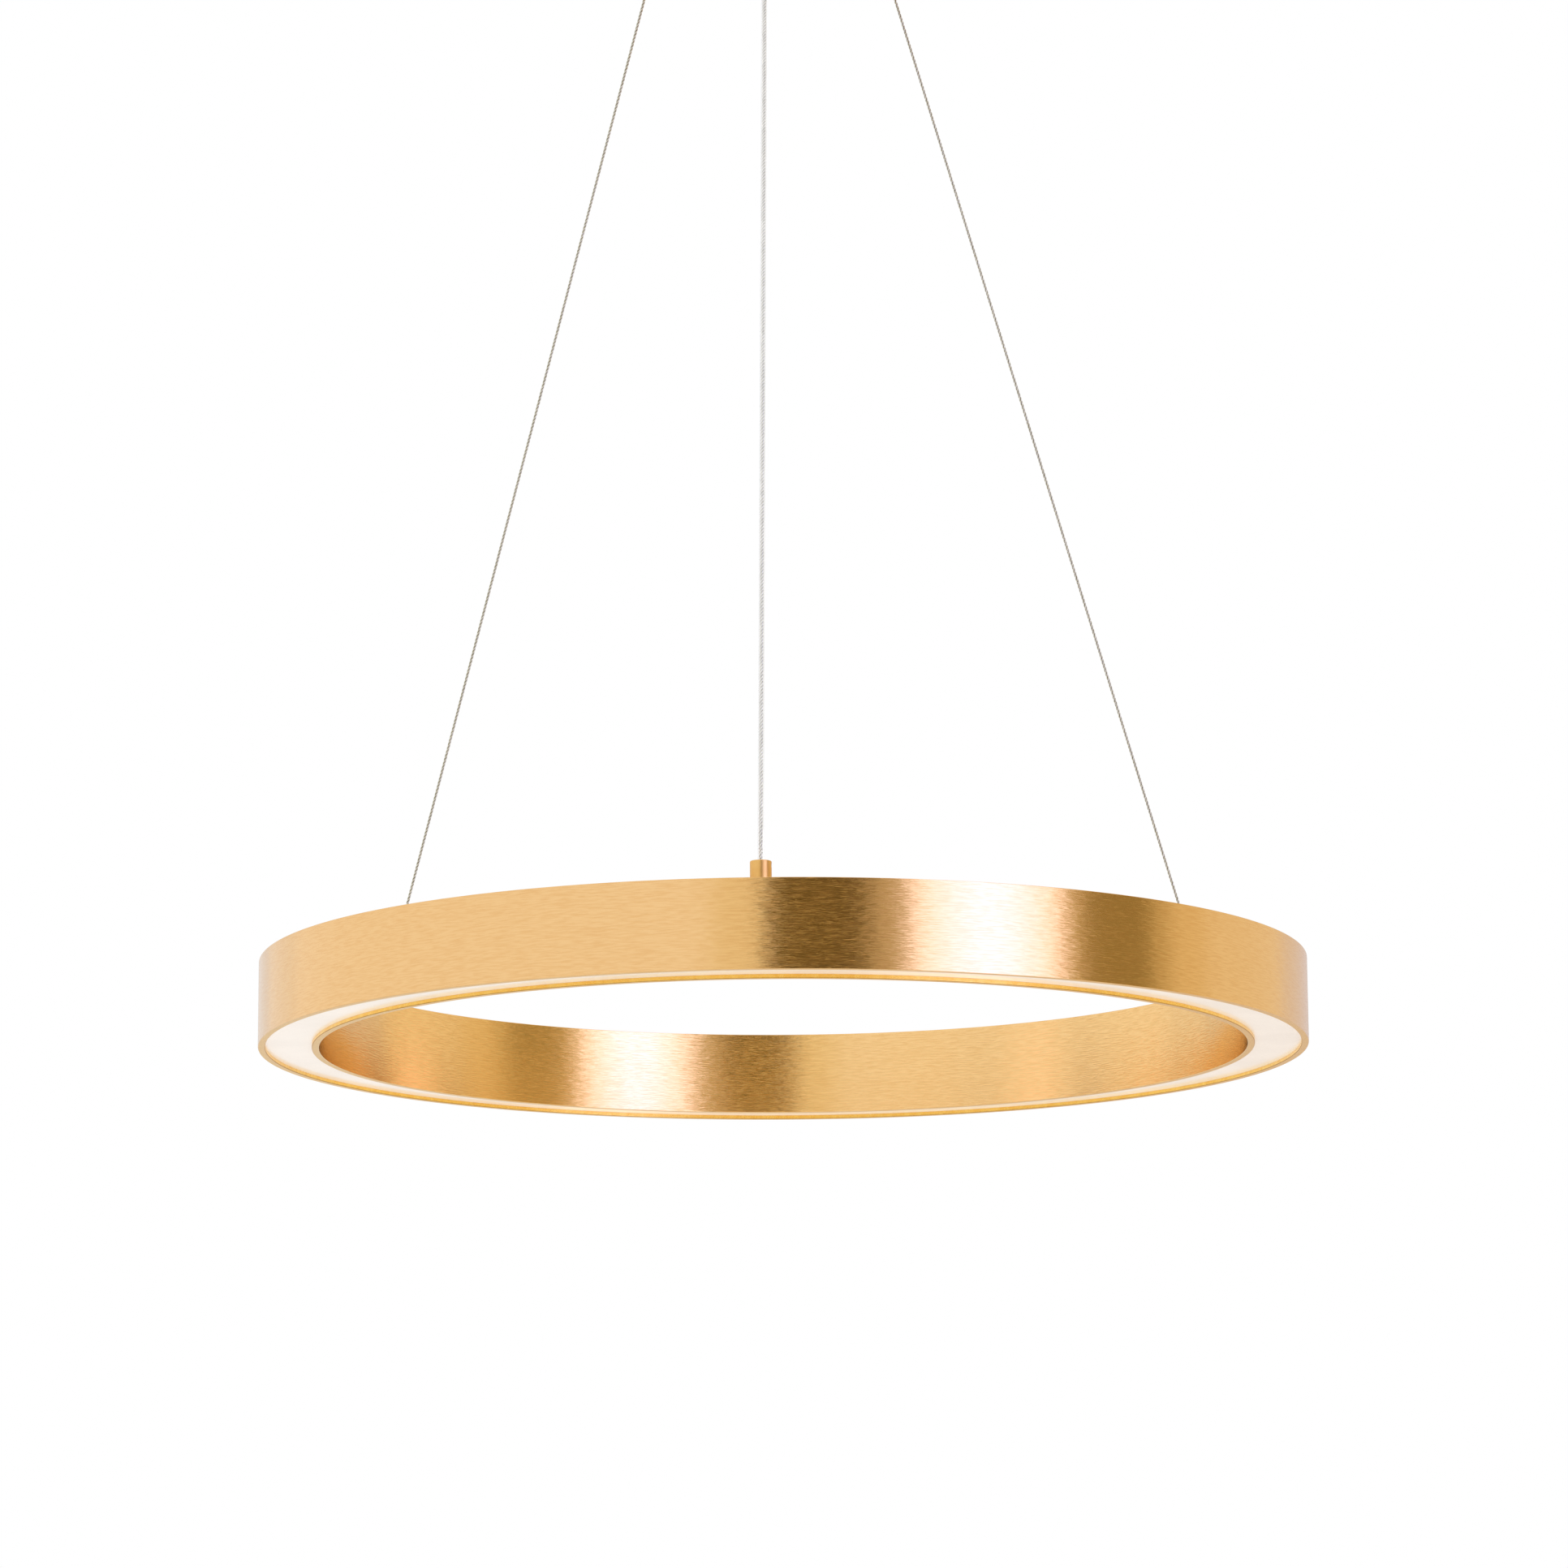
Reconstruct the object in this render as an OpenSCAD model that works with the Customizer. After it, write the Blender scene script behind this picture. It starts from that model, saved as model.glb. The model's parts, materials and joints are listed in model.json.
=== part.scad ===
// Ring pendant light. A lit ring hangs on three cables from a round ceiling canopy.
// Millimetres, +Z up. The origin is the centre of the ceiling bracket's bolt pattern, on the ceiling.
// The front of the light faces -Y. Everything below the ceiling has a negative height.

/* [Hanging] */
// Drop from the canopy's underside to the ring's top face
hang_drop = 627.4; // [400:1:1200]
// Sideways distance of the ring's axis from the canopy's axis
hang_shift = 5.9; // [0:0.1:20]
// Direction of the front fitting seen from the ring's axis, in degrees
ring_turn = -92.3; // [-100:0.1:-80]
// Direction of the front cable seen from the canopy's axis, in degrees
canopy_turn = -90.9; // [-100:0.1:-80]
// Radius of the circle on which the cables leave the canopy
grip_r = 83.6; // [70:0.1:85]

/* [Ring] */
// Outer diameter of the ring
ring_d = 600; // [450:10:1000]
// Width of the ring, seen from below
ring_w = 34.7; // [32:0.1:50]
// Height of the ring
ring_h = 48.6; // [46:0.1:80]
// Wall thickness of the inner and outer bands
band_t = 1.8; // [1.4:0.1:2.2]
// Width of the narrow rim under each band, wall included
rim_w = 4.1; // [3.8:0.1:5]
// Thickness of the rim, which is how far the diffuser is let in
rim_t = 2.2; // [1.5:0.1:3]
// How far the snap ridge above the diffuser stands out of the band
ridge_w = 0.8; // [0.5:0.1:1]
// Height of the snap ridge
ridge_h = 1; // [0.6:0.1:1.5]
// Width of the flange that carries the top cover
flange_w = 5.6; // [5:0.1:6]
// Thickness of that flange
flange_t = 2; // [1.5:0.1:3]
// Thickness of the top cover
cover_t = 1.8; // [1.6:0.1:2.4]
// Distance of the cover screws from the outer face of their band
cover_screw_in = 5.2; // [5:0.1:5.6]
// Number of cover screws round each edge of the cover
cover_screw_count = 6; // [4:1:9]
// Thickness of the opal diffuser
diffuser_t = 2; // [1.5:0.1:3]

/* [Light source] */
// Height of the carrier plate's underside above the ring's underside
carrier_z = 28; // [20:0.5:30]
// Thickness of the carrier plate
carrier_t = 1.5; // [1:0.1:2]
// Width of the carrier plate
carrier_w = 24; // [22:0.5:26]
// Diameter of a standoff between carrier and cover
standoff_d = 5; // [4:0.1:6]
// Distance of the standoffs' circle inside the ring's middle circle
standoff_in = 6.65; // [6:0.05:7]
// Number of standoffs
standoff_count = 6; // [4:1:8]
// Width of the LED strip
strip_w = 10; // [6:0.5:11]
// Thickness of the LED strip
strip_t = 0.3; // [0.2:0.1:0.6]
// Distance of the strip's circle outside the ring's middle circle
strip_out = 2.35; // [2:0.05:4]
// Number of LED chips
chip_count = 120; // [60:12:180]
// Length of a chip, along the strip
chip_l = 3.5; // [2:0.1:4]
// Width of a chip
chip_w = 2.8; // [2:0.1:4]
// Height of a chip
chip_h = 0.7; // [0.4:0.1:1]

/* [Ring fittings] */
// Outer diameter of the three fittings on the ring
fitting_d = 11.5; // [10.5:0.1:14]
// Height of a fitting above the ring
fitting_h = 11.5; // [11:0.1:16]
// Radius of a fitting's rounded top edge
fitting_round = 0.6; // [0.3:0.1:2]
// Diameter of a fitting's threaded stem
stem_d = 8; // [7.6:0.1:9]
// Length of the stem below the ring's top face
stem_l = 10; // [8:0.1:11]
// Thickness of the locknut on a stem
locknut_t = 4; // [3:0.1:5]
// Width across the flats of that locknut
locknut_w = 12; // [11:0.5:13]
// Diameter of the crimped stop at the end of a cable
stop_d = 5.2; // [4.6:0.1:5.4]
// Length of the crimped stop
stop_l = 5; // [4:0.1:5.5]
// Height of the stop's middle above the ring's top face
stop_z = 5.2; // [5:0.1:5.4]
// Diameter of the grub screw in the front gland
grub_d = 3; // [2.5:0.1:4]

/* [Cables] */
// Diameter of the two suspension wires
wire_d = 1.6; // [1:0.1:1.8]
// Diameter of the front power cable
cable_d = 3.2; // [2.4:0.1:3.4]
// Length over which a suspension wire bends above its fitting
wire_bend = 3.2; // [2:0.1:5]
// Length over which the power cable bends above its gland
cable_bend = 9.6; // [6:0.1:14]
// Length of wire that stands out above a gripper
tail_l = 7; // [3:0.5:9]

/* [Canopy] */
// Outer diameter of the canopy
canopy_d = 200; // [196:1:260]
// Height of the canopy
canopy_h = 38; // [36:1:60]
// Thickness of the canopy's side wall
canopy_wall = 1.2; // [1:0.1:2]
// Thickness of the canopy's floor
canopy_floor = 1.6; // [1.2:0.1:2.5]
// Outside radius of the canopy's lower edge
canopy_round = 4; // [2.6:0.1:6]
// Gap between the canopy's upper edge and the ceiling
rim_gap = 0.5; // [0.3:0.1:2]
// Diameter of the thread of a canopy side screw
side_screw_d = 4; // [3:0.5:5]
// Depth of the side screws below the ceiling
side_screw_z = 10; // [8:0.5:12]

/* [Ceiling bracket] */
// Width of the bracket bar
bracket_w = 30; // [24:1:40]
// Thickness of the bracket's steel
bracket_t = 2; // [1.5:0.1:3]
// Length of the tabs that are bent down
tab_l = 16; // [15:0.5:20]
// Distance between the two ceiling screw slots
slot_pitch = 70; // [66:1:76]
// Length of a slot, end to end
slot_l = 14; // [8:0.5:16]
// Width of a slot
slot_w = 5.2; // [4:0.1:6]
// Diameter of the hole for the supply cable
supply_hole_d = 14; // [10:0.5:18]

/* [Driver] */
// Length of the driver's case
driver_l = 100; // [92:1:102]
// Width of the driver's case
driver_w = 36; // [33:1:40]
// Height of the driver's case
driver_h = 24; // [22:0.5:25]
// Height of the lower half of the case
driver_base_h = 8; // [7:0.5:10]
// Wall thickness of the case
driver_wall = 1.6; // [1.2:0.1:2]
// How far the case sits to the left of the canopy's axis
driver_left = 16; // [14:0.5:17]
// Length of an ear on the case
ear_l = 10; // [9:0.5:11]
// Width of an ear
ear_w = 14; // [10:0.5:18]
// Thickness of an ear
ear_t = 3; // [2:0.5:4]
// Height of the boss under each ear
boss_h = 2; // [1.5:0.1:2.2]
// Thickness of the circuit board
board_t = 1.6; // [1:0.1:2]
// Height of the board's feet above the inside of the base
board_foot_h = 4; // [3:0.1:4.5]

/* [Terminal block] */
// Length of the block, along the bracket
block_l = 28; // [22:1:30]
// Width of the block
block_w = 17; // [16:0.5:22]
// Height of the block
block_h = 14; // [12:0.5:15]
// Distance of the block's middle from the canopy's axis
block_x = 70; // [68:0.5:74]
// Distance between two poles
pole_pitch = 5.5; // [5.2:0.1:5.6]

/* [Grippers] */
// Outer diameter of a gripper's barrel
barrel_d = 12; // [11:0.1:14]
// Length of the barrel below the canopy
barrel_l = 14; // [13.5:0.1:18]
// Diameter of the threaded neck through the canopy floor
neck_d = 9.8; // [9.4:0.1:10]
// Length of the neck above the canopy's underside
neck_l = 11; // [9:0.1:12]
// Thickness of the nuts inside the canopy
nut_t = 3; // [2:0.1:4]
// Width across the flats of those nuts
nut_w = 14; // [13:0.5:16]
// Diameter of the release nipple's button
nipple_d = 6.4; // [6:0.1:7.5]
// Height of the button
button_h = 2.6; // [2:0.1:3]
// Travel of the release nipple
nipple_travel = 2; // [1.5:0.1:2.2]
// Diameter of the nipple's shank
shank_d = 4.5; // [4.3:0.1:4.6]
// Diameter of the ball cage on the nipple
cage_d = 5.5; // [5.4:0.1:5.6]
// Diameter of a gripping ball
ball_d = 2; // [1.8:0.1:2]
// Outer diameter of the front cord grip
cord_grip_d = 14; // [13.5:0.1:16]

/* [Hidden] */
$fn = 96;

// Clearances: cut overrun, snug fit, running fit and the gap beside parts of another body
cut = 1;
snug = 0.1;
run_fit = 0.15;
body_gap = 0.3;

// Heights from the ceiling down
canopy_low = -canopy_h;
floor_top = canopy_low + canopy_floor;
ring_top = canopy_low - hang_drop;
ring_low = ring_top - ring_h;

// Radii of the ring
r_out = ring_d / 2;
r_in = r_out - ring_w;
r_mid = (r_out + r_in) / 2;
standoff_r = r_mid - standoff_in;
strip_r = r_mid + strip_out;

// Directions of the front, right and left suspension points
FRONT = 0;
RIGHT = 120;
LEFT = 240;

// Height at which each cable leaves its gripper, which is also where it swings
nipple_gap = nipple_travel + 0.4;
pivot_drop = barrel_l + nipple_gap + button_h;
pivot_z = canopy_low - pivot_drop;
pivot_gap = 0.8;

// Heights of the ring's inside
groove_gap = 0.2;
ridge_z = rim_t + diffuser_t + groove_gap;
cover_z = ring_h - cover_t;

// Small screws, in threes of shank diameter, head diameter and head height
small_d = 3;
small_head_d = 5.5;
small_head_h = 1.7;

// Driver and its place on the canopy floor
driver_low = floor_top + boss_h;
driver_top = driver_low + driver_h;
split_z = driver_low + driver_base_h;
board_l = driver_l - 2 * driver_wall - 4;
board_w = driver_w - 2 * driver_wall - 2;
board_z = driver_low + driver_wall + board_foot_h;
board_foot_d = 4;
board_foot_x = board_l / 2 - board_foot_d - 1;
board_foot_y = board_w / 2 - board_foot_d;
ear_x = driver_l / 2 + ear_l / 2;
ear_hole_d = small_d + 0.5;
terminal_hole_d = 3.2;
lead_d = 2;

// Gripper bore: a cone that narrows downwards, and a straight spring chamber above it
cone_low_r = 3;
cone_high_r = 4;
mouth_floor = 2;
cone_low = mouth_floor - barrel_l;
cone_high = -3;
chamber_top = 3;
cage_low = cone_low + 0.2;
cage_high = cone_low + 6;
ball_z = cone_low + 3;
ball_r = 2.05;
spring_wire = 0.6;
spring_turns = 6;
spring_r = 2.5;
nipple_bore = wire_d + 0.6;

// The cord grip's stub, cap and collet
cord_flange = 5;
stub_d = 10;
stub_l = 6;
collet_low = 1.6 - pivot_drop;

// Gold, steel and the other colours of the finished pieces
GOLD = "#d8aa62";
STEEL = "#b4b6b2";
BRASS = "#c9a24e";
ALUMINIUM = "#c9ccce";
OPAL = "#fbf1e6";
WHITE = "#eceae4";
BLACK = "#2b2b2d";
BOARD = "#2f6b45";

// Vector helpers for the swept leads
function unit(v) = v / norm(v);
function along(p, i) = unit(p[min(i + 1, len(p) - 1)] - p[max(i - 1, 0)]);
function square_to(t, v) = unit(v - t * (v * t));
function start_side(t) = abs(t.z) < 0.9 ? square_to(t, [0, 0, 1]) : square_to(t, [1, 0, 0]);
function mixed(a, b, c, d, t) =
    0.5 * (2 * b + (c - a) * t + (2 * a - 5 * b + 4 * c - d) * t * t + (3 * b - a - 3 * c + d) * t * t * t);
function smooth(p, steps) = concat(
    [for (i = [0:len(p) - 2])
        for (k = [0:steps - 1])
            mixed(p[max(i - 1, 0)], p[i], p[i + 1], p[min(i + 2, len(p) - 1)], k / steps)],
    [p[len(p) - 1]]);

// A round tube along a list of points, with a ring of corners square to each point
module tube_along(p, d, sides) {
    last = len(p) - 1;
    frames = [for (i = 0, n = start_side(along(p, 0)); i <= last;
        i = i + 1, n = square_to(along(p, min(i, last)), n)) n];
    corners = [for (i = [0:last])
        let (t = along(p, i), n = square_to(t, frames[i]), m = cross(t, n))
        for (k = [0:sides - 1])
            p[i] + d / 2 * (cos(360 * k / sides) * n + sin(360 * k / sides) * m)];
    skin = [for (i = [0:last - 1])
        for (k = [0:sides - 1])
            let (a = i * sides + k, b = i * sides + (k + 1) % sides)
            for (f = [[a, a + sides, b], [b, a + sides, b + sides]]) f];
    low_cap = [for (k = [1:sides - 2]) [0, k, k + 1]];
    high_cap = [for (k = [1:sides - 2]) [last * sides, last * sides + k + 1, last * sides + k]];
    polyhedron(points = corners, faces = concat(skin, low_cap, high_cap));
}

// A flat ring between two radii and two heights
module hoop(inner, outer, low, high) {
    rotate_extrude($fn = 180)
        translate([inner, low])
            square([outer - inner, high - low]);
}

// A countersink or a flared mouth: a cone whose wide end lies at its own origin and runs on past it
module flare(narrow_d, wide_d, depth) {
    past = 0.5;
    translate([0, 0, -depth])
        cylinder(d1 = narrow_d, d2 = wide_d + (wide_d - narrow_d) * past / depth, h = depth + past);
}

// A hexagonal nut with its bore, standing on its own origin
module hex_nut(across, thick, bore_d) {
    difference() {
        cylinder(d = across / cos(30), h = thick, $fn = 6);
        translate([0, 0, -cut])
            cylinder(d = bore_d, h = thick + 2 * cut);
    }
}

// A pan-head screw that points down, its head resting on its origin, with a cross slot
module pan_screw(d, l, head_d, head_h) {
    difference() {
        union() {
            cylinder(d = head_d, h = head_h);
            translate([0, 0, -l])
                cylinder(d = d, h = l + head_h / 2);
        }
        for (a = [0, 90])
            rotate([0, 0, a])
                translate([-head_d / 3, -head_d / 16, head_h / 2])
                    cube([head_d / 1.5, head_d / 8, head_h]);
    }
}

// Places in the frame of the ring and of the canopy
module on_ring(turn, radius, height) {
    translate([hang_shift, 0, ring_low + height])
        rotate([0, 0, ring_turn + turn])
            translate([radius, 0, 0])
                children();
}

module on_canopy(turn, radius, height) {
    rotate([0, 0, canopy_turn + turn])
        translate([radius, 0, height])
            children();
}

module ring_axis() {
    translate([hang_shift, 0, ring_low])
        children();
}

// Ceiling bracket: a pressed bar with two slots, a cable hole and a bent tab at each end
tab_x = sqrt(pow(canopy_d / 2 - canopy_wall, 2) - pow(bracket_w / 2, 2)) - 0.6;
tab_hole_d = side_screw_d + 2 * snug;
earth_x = driver_left + driver_l / 2 + ear_l + 8;
earth_d = 4;

module slot_cut(length, width) {
    for (s = [-1, 1])
        translate([s * (length - width) / 2, 0, -bracket_t - cut])
            cylinder(d = width, h = bracket_t + 2 * cut);
    translate([-(length - width) / 2, -width / 2, -bracket_t - cut])
        cube([length - width, width, bracket_t + 2 * cut]);
}

module ceiling_bracket() {
    color(STEEL)
        difference() {
            union() {
                translate([-tab_x, -bracket_w / 2, -bracket_t])
                    cube([2 * tab_x, bracket_w, bracket_t]);
                for (s = [-1, 1])
                    translate([s * tab_x - (s > 0 ? bracket_t : 0), -bracket_w / 2, -tab_l])
                        cube([bracket_t, bracket_w, tab_l]);
            }
            for (s = [-1, 1])
                translate([s * slot_pitch / 2, 0, 0])
                    slot_cut(slot_l, slot_w);
            translate([0, 0, -bracket_t - cut])
                cylinder(d = supply_hole_d, h = bracket_t + 2 * cut);
            translate([-earth_x, 0, -bracket_t - cut])
                cylinder(d = earth_d + 2 * snug, h = bracket_t + 2 * cut);
            translate([-tab_x - cut, 0, -side_screw_z])
                rotate([0, 90, 0])
                    cylinder(d = tab_hole_d, h = 2 * (tab_x + cut));
        }
}

// Canopy cup: a pressed cup, open at the ceiling, with its lower edge rounded
module cup_section(radius, low, high, corner) {
    translate([0, low])
        square([radius - corner, high - low]);
    translate([0, low + corner])
        square([radius, high - low - corner]);
    translate([radius - corner, low + corner])
        circle(r = corner);
}

module canopy_cup() {
    inner_round = max(canopy_round - canopy_wall, 0.5);
    color(GOLD)
        difference() {
            union() {
                rotate_extrude($fn = 180)
                    intersection() {
                        difference() {
                            cup_section(canopy_d / 2, canopy_low, -rim_gap, canopy_round);
                            cup_section(canopy_d / 2 - canopy_wall, floor_top, cut, inner_round);
                        }
                        translate([0, canopy_low])
                            square([canopy_d, canopy_h]);
                    }
                for (s = [-1, 1])
                    translate([s * ear_x - driver_left, 0, floor_top - canopy_floor / 2])
                        cylinder(d = small_head_d + 0.5, h = boss_h + canopy_floor / 2);
            }
            for (turn = [FRONT, RIGHT, LEFT])
                on_canopy(turn, grip_r, canopy_low - cut)
                    cylinder(d = neck_d + 2 * snug, h = canopy_floor + 2 * cut);
            for (s = [-1, 1])
                translate([s * ear_x - driver_left, 0, floor_top])
                    cylinder(d = small_d + 2 * snug, h = boss_h + cut);
            translate([-canopy_d / 2 - cut, 0, -side_screw_z])
                rotate([0, 90, 0])
                    cylinder(d = side_screw_d + 0.5, h = canopy_d + 2 * cut);
        }
}

// Two side screws with round knurled heads, driven through the cup into the bracket's tabs
side_head_d = 9;
side_head_h = 5;
knurls = 16;

module side_screw() {
    shank_l = canopy_d / 2 - tab_x + bracket_t + 2;
    difference() {
        union() {
            cylinder(d = side_head_d, h = side_head_h);
            translate([0, 0, -shank_l])
                cylinder(d = side_screw_d, h = shank_l + 1);
        }
        for (k = [0:knurls - 1])
            rotate([0, 0, 360 * k / knurls])
                translate([side_head_d / 2 + 0.25, 0, -cut])
                    cylinder(d = 1, h = side_head_h + 2 * cut);
        translate([-side_head_d, -0.5, side_head_h - 1])
            cube([2 * side_head_d, 1, 2]);
    }
}

module canopy_screws() {
    color(GOLD)
        for (s = [-1, 1])
            translate([s * canopy_d / 2, 0, -side_screw_z])
                rotate([0, s * 90, 0])
                    side_screw();
}

// Three nuts that hold the two grippers and the cord grip on the canopy floor
module canopy_nuts() {
    color(STEEL)
        for (turn = [FRONT, RIGHT, LEFT])
            on_canopy(turn, grip_r, floor_top)
                hex_nut(nut_w, nut_t, neck_d);
}

// LED driver: a two-part case screwed to bosses in the canopy
module on_driver(x, y, z) {
    translate([x - driver_left, y, z])
        children();
}

module case_half(low, high, floor_low) {
    difference() {
        on_driver(-driver_l / 2, -driver_w / 2, low)
            cube([driver_l, driver_w, high - low]);
        on_driver(-driver_l / 2 + driver_wall, -driver_w / 2 + driver_wall,
            floor_low ? low + driver_wall : low - cut)
            cube([driver_l - 2 * driver_wall, driver_w - 2 * driver_wall, high - low - driver_wall + cut]);
    }
}

module driver_base() {
    color(WHITE)
        difference() {
            union() {
                case_half(driver_low, split_z, true);
                for (s = [-1, 1]) {
                    on_driver(s * ear_x - ear_l / 2, -ear_w / 2, driver_low)
                        cube([ear_l, ear_w, ear_t]);
                    for (t = [-1, 1])
                        on_driver(s * board_foot_x, t * board_foot_y, driver_low + driver_wall / 2)
                            cylinder(d = board_foot_d, h = board_foot_h + driver_wall / 2);
                }
            }
            for (s = [-1, 1])
                on_driver(s * ear_x, 0, driver_low - cut)
                    cylinder(d = ear_hole_d, h = ear_t + 2 * cut);
        }
}

// The lid has one hole for the output cable and two for the mains leads
module driver_lid() {
    color(WHITE)
        difference() {
            case_half(split_z, driver_top, false);
            on_driver(-driver_l / 2 - cut, output_y, output_z)
                rotate([0, 90, 0])
                    cylinder(d = cable_d + 2 * snug, h = driver_wall + 2 * cut);
            for (s = [-1, 1])
                on_driver(driver_l / 2 - driver_wall - cut, s * pole_pitch, output_z)
                    rotate([0, 90, 0])
                        cylinder(d = lead_d + 2 * snug, h = driver_wall + 2 * cut);
        }
}

output_y = -9;
output_z = driver_top - 7;
straight = 1.5;
part_h = driver_top - driver_wall - board_z - board_t - 0.5;

module driver_board() {
    color(BOARD)
        on_driver(-board_l / 2, -board_w / 2, board_z)
            cube([board_l, board_w, board_t]);
}

// The transformer: a ferrite frame round a wound bobbin
module driver_transformer() {
    frame_l = 24;
    frame_w = 18;
    limb = 5;
    yoke = 2;
    color(BLACK)
        on_driver(-frame_l / 2 - 2, -frame_w / 2, board_z + board_t) {
            difference() {
                cube([frame_l, frame_w, part_h]);
                translate([limb, -cut, yoke])
                    cube([frame_l - 2 * limb, frame_w + 2 * cut, part_h - 2 * yoke]);
            }
            translate([frame_l / 2, frame_w / 2, yoke])
                cylinder(d = frame_l - 2 * limb - 1, h = part_h - 2 * yoke);
        }
}

// Capacitors on the board, each as its x, its y, its diameter and how far it stays below the lid
capacitors = [[24, 4, 10, 0], [24, -8, 8, 2], [-32, 4, 8, 1]];

module driver_capacitors() {
    color(BLACK)
        for (c = capacitors)
            on_driver(c[0], c[1], board_z + board_t)
                cylinder(d = c[2], h = part_h - c[3]);
}

module driver_screws() {
    color(STEEL)
        for (s = [-1, 1])
            on_driver(s * ear_x, 0, driver_low + ear_t)
                pan_screw(small_d, ear_t + boss_h - 0.2, small_head_d, small_head_h);
}

// Mains terminal block under the bracket: three poles, each with two clamping screws
well_d = 4.6;
well_depth = 5;

module pole_places() {
    for (k = [-1:1])
        for (s = [-1, 1])
            translate([block_x + s * block_l / 4, k * pole_pitch, -bracket_t - block_h])
                children();
}

module terminal_block() {
    color(WHITE)
        difference() {
            translate([block_x - block_l / 2, -block_w / 2, -bracket_t - block_h])
                cube([block_l, block_w, block_h]);
            for (k = [-1:1])
                translate([block_x - block_l / 2 - cut, k * pole_pitch, -bracket_t - block_h / 2])
                    rotate([0, 90, 0])
                        cylinder(d = terminal_hole_d, h = block_l + 2 * cut);
            pole_places()
                translate([0, 0, -cut])
                    cylinder(d = well_d, h = well_depth + cut);
        }
}

module terminal_screws() {
    screw_d = well_d - 2 * snug;
    color(STEEL)
        pole_places()
            translate([0, 0, well_depth - 2.4])
                difference() {
                    cylinder(d = screw_d, h = 2.4);
                    translate([-screw_d, -0.4, -cut])
                        cube([2 * screw_d, 0.8, cut + 0.8]);
                }
}

// Earth screw with its washer, under the left end of the bracket
module earth_screw() {
    color(BRASS)
        translate([-earth_x, 0, -bracket_t])
            rotate([180, 0, 0]) {
                translate([0, 0, 1])
                    pan_screw(earth_d, bracket_t + 0.8, 7.5, 2.4);
                difference() {
                    cylinder(d = 9, h = 1);
                    translate([0, 0, -cut])
                        cylinder(d = earth_d, h = 1 + 2 * cut);
                }
            }
}

// Two leads in a slack curve from the terminal block to the driver
module mains_leads() {
    block_end = block_x - block_l / 2 + 4;
    block_mid = -bracket_t - block_h / 2;
    driver_end = driver_l / 2 - driver_left - driver_wall;
    span = block_end - driver_end;
    color("#7a4a2a")
        for (s = [-1, 1]) {
            y = s * pole_pitch;
            tube_along(smooth([
                [driver_end, y, output_z],
                [driver_end + driver_wall + straight, y, output_z],
                [driver_end + span * 0.3, y, output_z - 0.5],
                [driver_end + span * 0.5, y + s, (output_z + block_mid) / 2 - 1],
                [block_end - span * 0.28, y, block_mid - 0.4],
                [block_end, y, block_mid]], 4), lead_d, 8);
        }
}

// Wire gripper: a barrel under the canopy, a threaded neck through its floor, and a tapered bore
module gripper_body(turn) {
    color(GOLD)
        on_canopy(turn, grip_r, canopy_low)
            difference() {
                union() {
                    translate([0, 0, -barrel_l])
                        cylinder(d = barrel_d, h = barrel_l);
                    cylinder(d = neck_d, h = neck_l);
                }
                translate([0, 0, -barrel_l - cut])
                    cylinder(d = shank_d + 2 * run_fit, h = mouth_floor + cut + 0.01);
                translate([0, 0, cone_low])
                    cylinder(r1 = cone_low_r, r2 = cone_high_r, h = cone_high - cone_low);
                translate([0, 0, cone_high - 0.01])
                    cylinder(r = cone_high_r, h = chamber_top - cone_high + 0.01);
                cylinder(d = wire_d + 2 * body_gap, h = neck_l + cut);
            }
}

// Release nipple: pushed up, it lifts the ball cage and lets the wire run
module release_nipple(turn) {
    color(BRASS)
        on_canopy(turn, grip_r, canopy_low)
            difference() {
                union() {
                    translate([0, 0, -pivot_drop])
                        cylinder(d = nipple_d, h = button_h);
                    translate([0, 0, -pivot_drop])
                        cylinder(d = shank_d, h = pivot_drop + cage_low + 0.1);
                    translate([0, 0, cage_low])
                        cylinder(d = cage_d, h = cage_high - cage_low);
                }
                translate([0, 0, -pivot_drop - cut])
                    cylinder(d = nipple_bore, h = pivot_drop + cage_high + 2 * cut);
                for (k = [0:2])
                    rotate([0, 0, 120 * k])
                        translate([0, 0, ball_z])
                            rotate([0, 90, 0])
                                cylinder(d = ball_d + 2 * snug, h = cage_d);
            }
}

module gripping_balls(turn) {
    color(STEEL)
        on_canopy(turn, grip_r, canopy_low)
            for (k = [0:2])
                rotate([0, 0, 120 * k])
                    translate([ball_r, 0, ball_z])
                        sphere(d = ball_d, $fn = 48);
}

// Spring between the ball cage and the top of its chamber
module gripper_spring(turn) {
    steps = 12;
    bottom = cage_high + spring_wire / 2;
    rise = chamber_top - spring_wire / 2 - bottom;
    count = spring_turns * steps;
    color(STEEL)
        on_canopy(turn, grip_r, canopy_low)
            tube_along([for (i = [0:count])
                let (a = 360 * i / steps)
                [spring_r * cos(a), spring_r * sin(a), bottom + rise * i / count]], spring_wire, 6);
}

// Front cord grip: a threaded body, a nylon collet and a cap nut that squeezes it on the cable
module cord_grip_body() {
    color(GOLD)
        on_canopy(FRONT, grip_r, canopy_low)
            difference() {
                union() {
                    translate([0, 0, -cord_flange])
                        cylinder(d = cord_grip_d, h = cord_flange);
                    translate([0, 0, -cord_flange - stub_l])
                        cylinder(d = stub_d, h = stub_l + 0.01);
                    cylinder(d = neck_d, h = neck_l);
                }
                translate([0, 0, -cord_flange - stub_l - cut])
                    cylinder(d = cable_d + 2 * body_gap, h = cord_flange + stub_l + neck_l + 2 * cut);
            }
}

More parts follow.
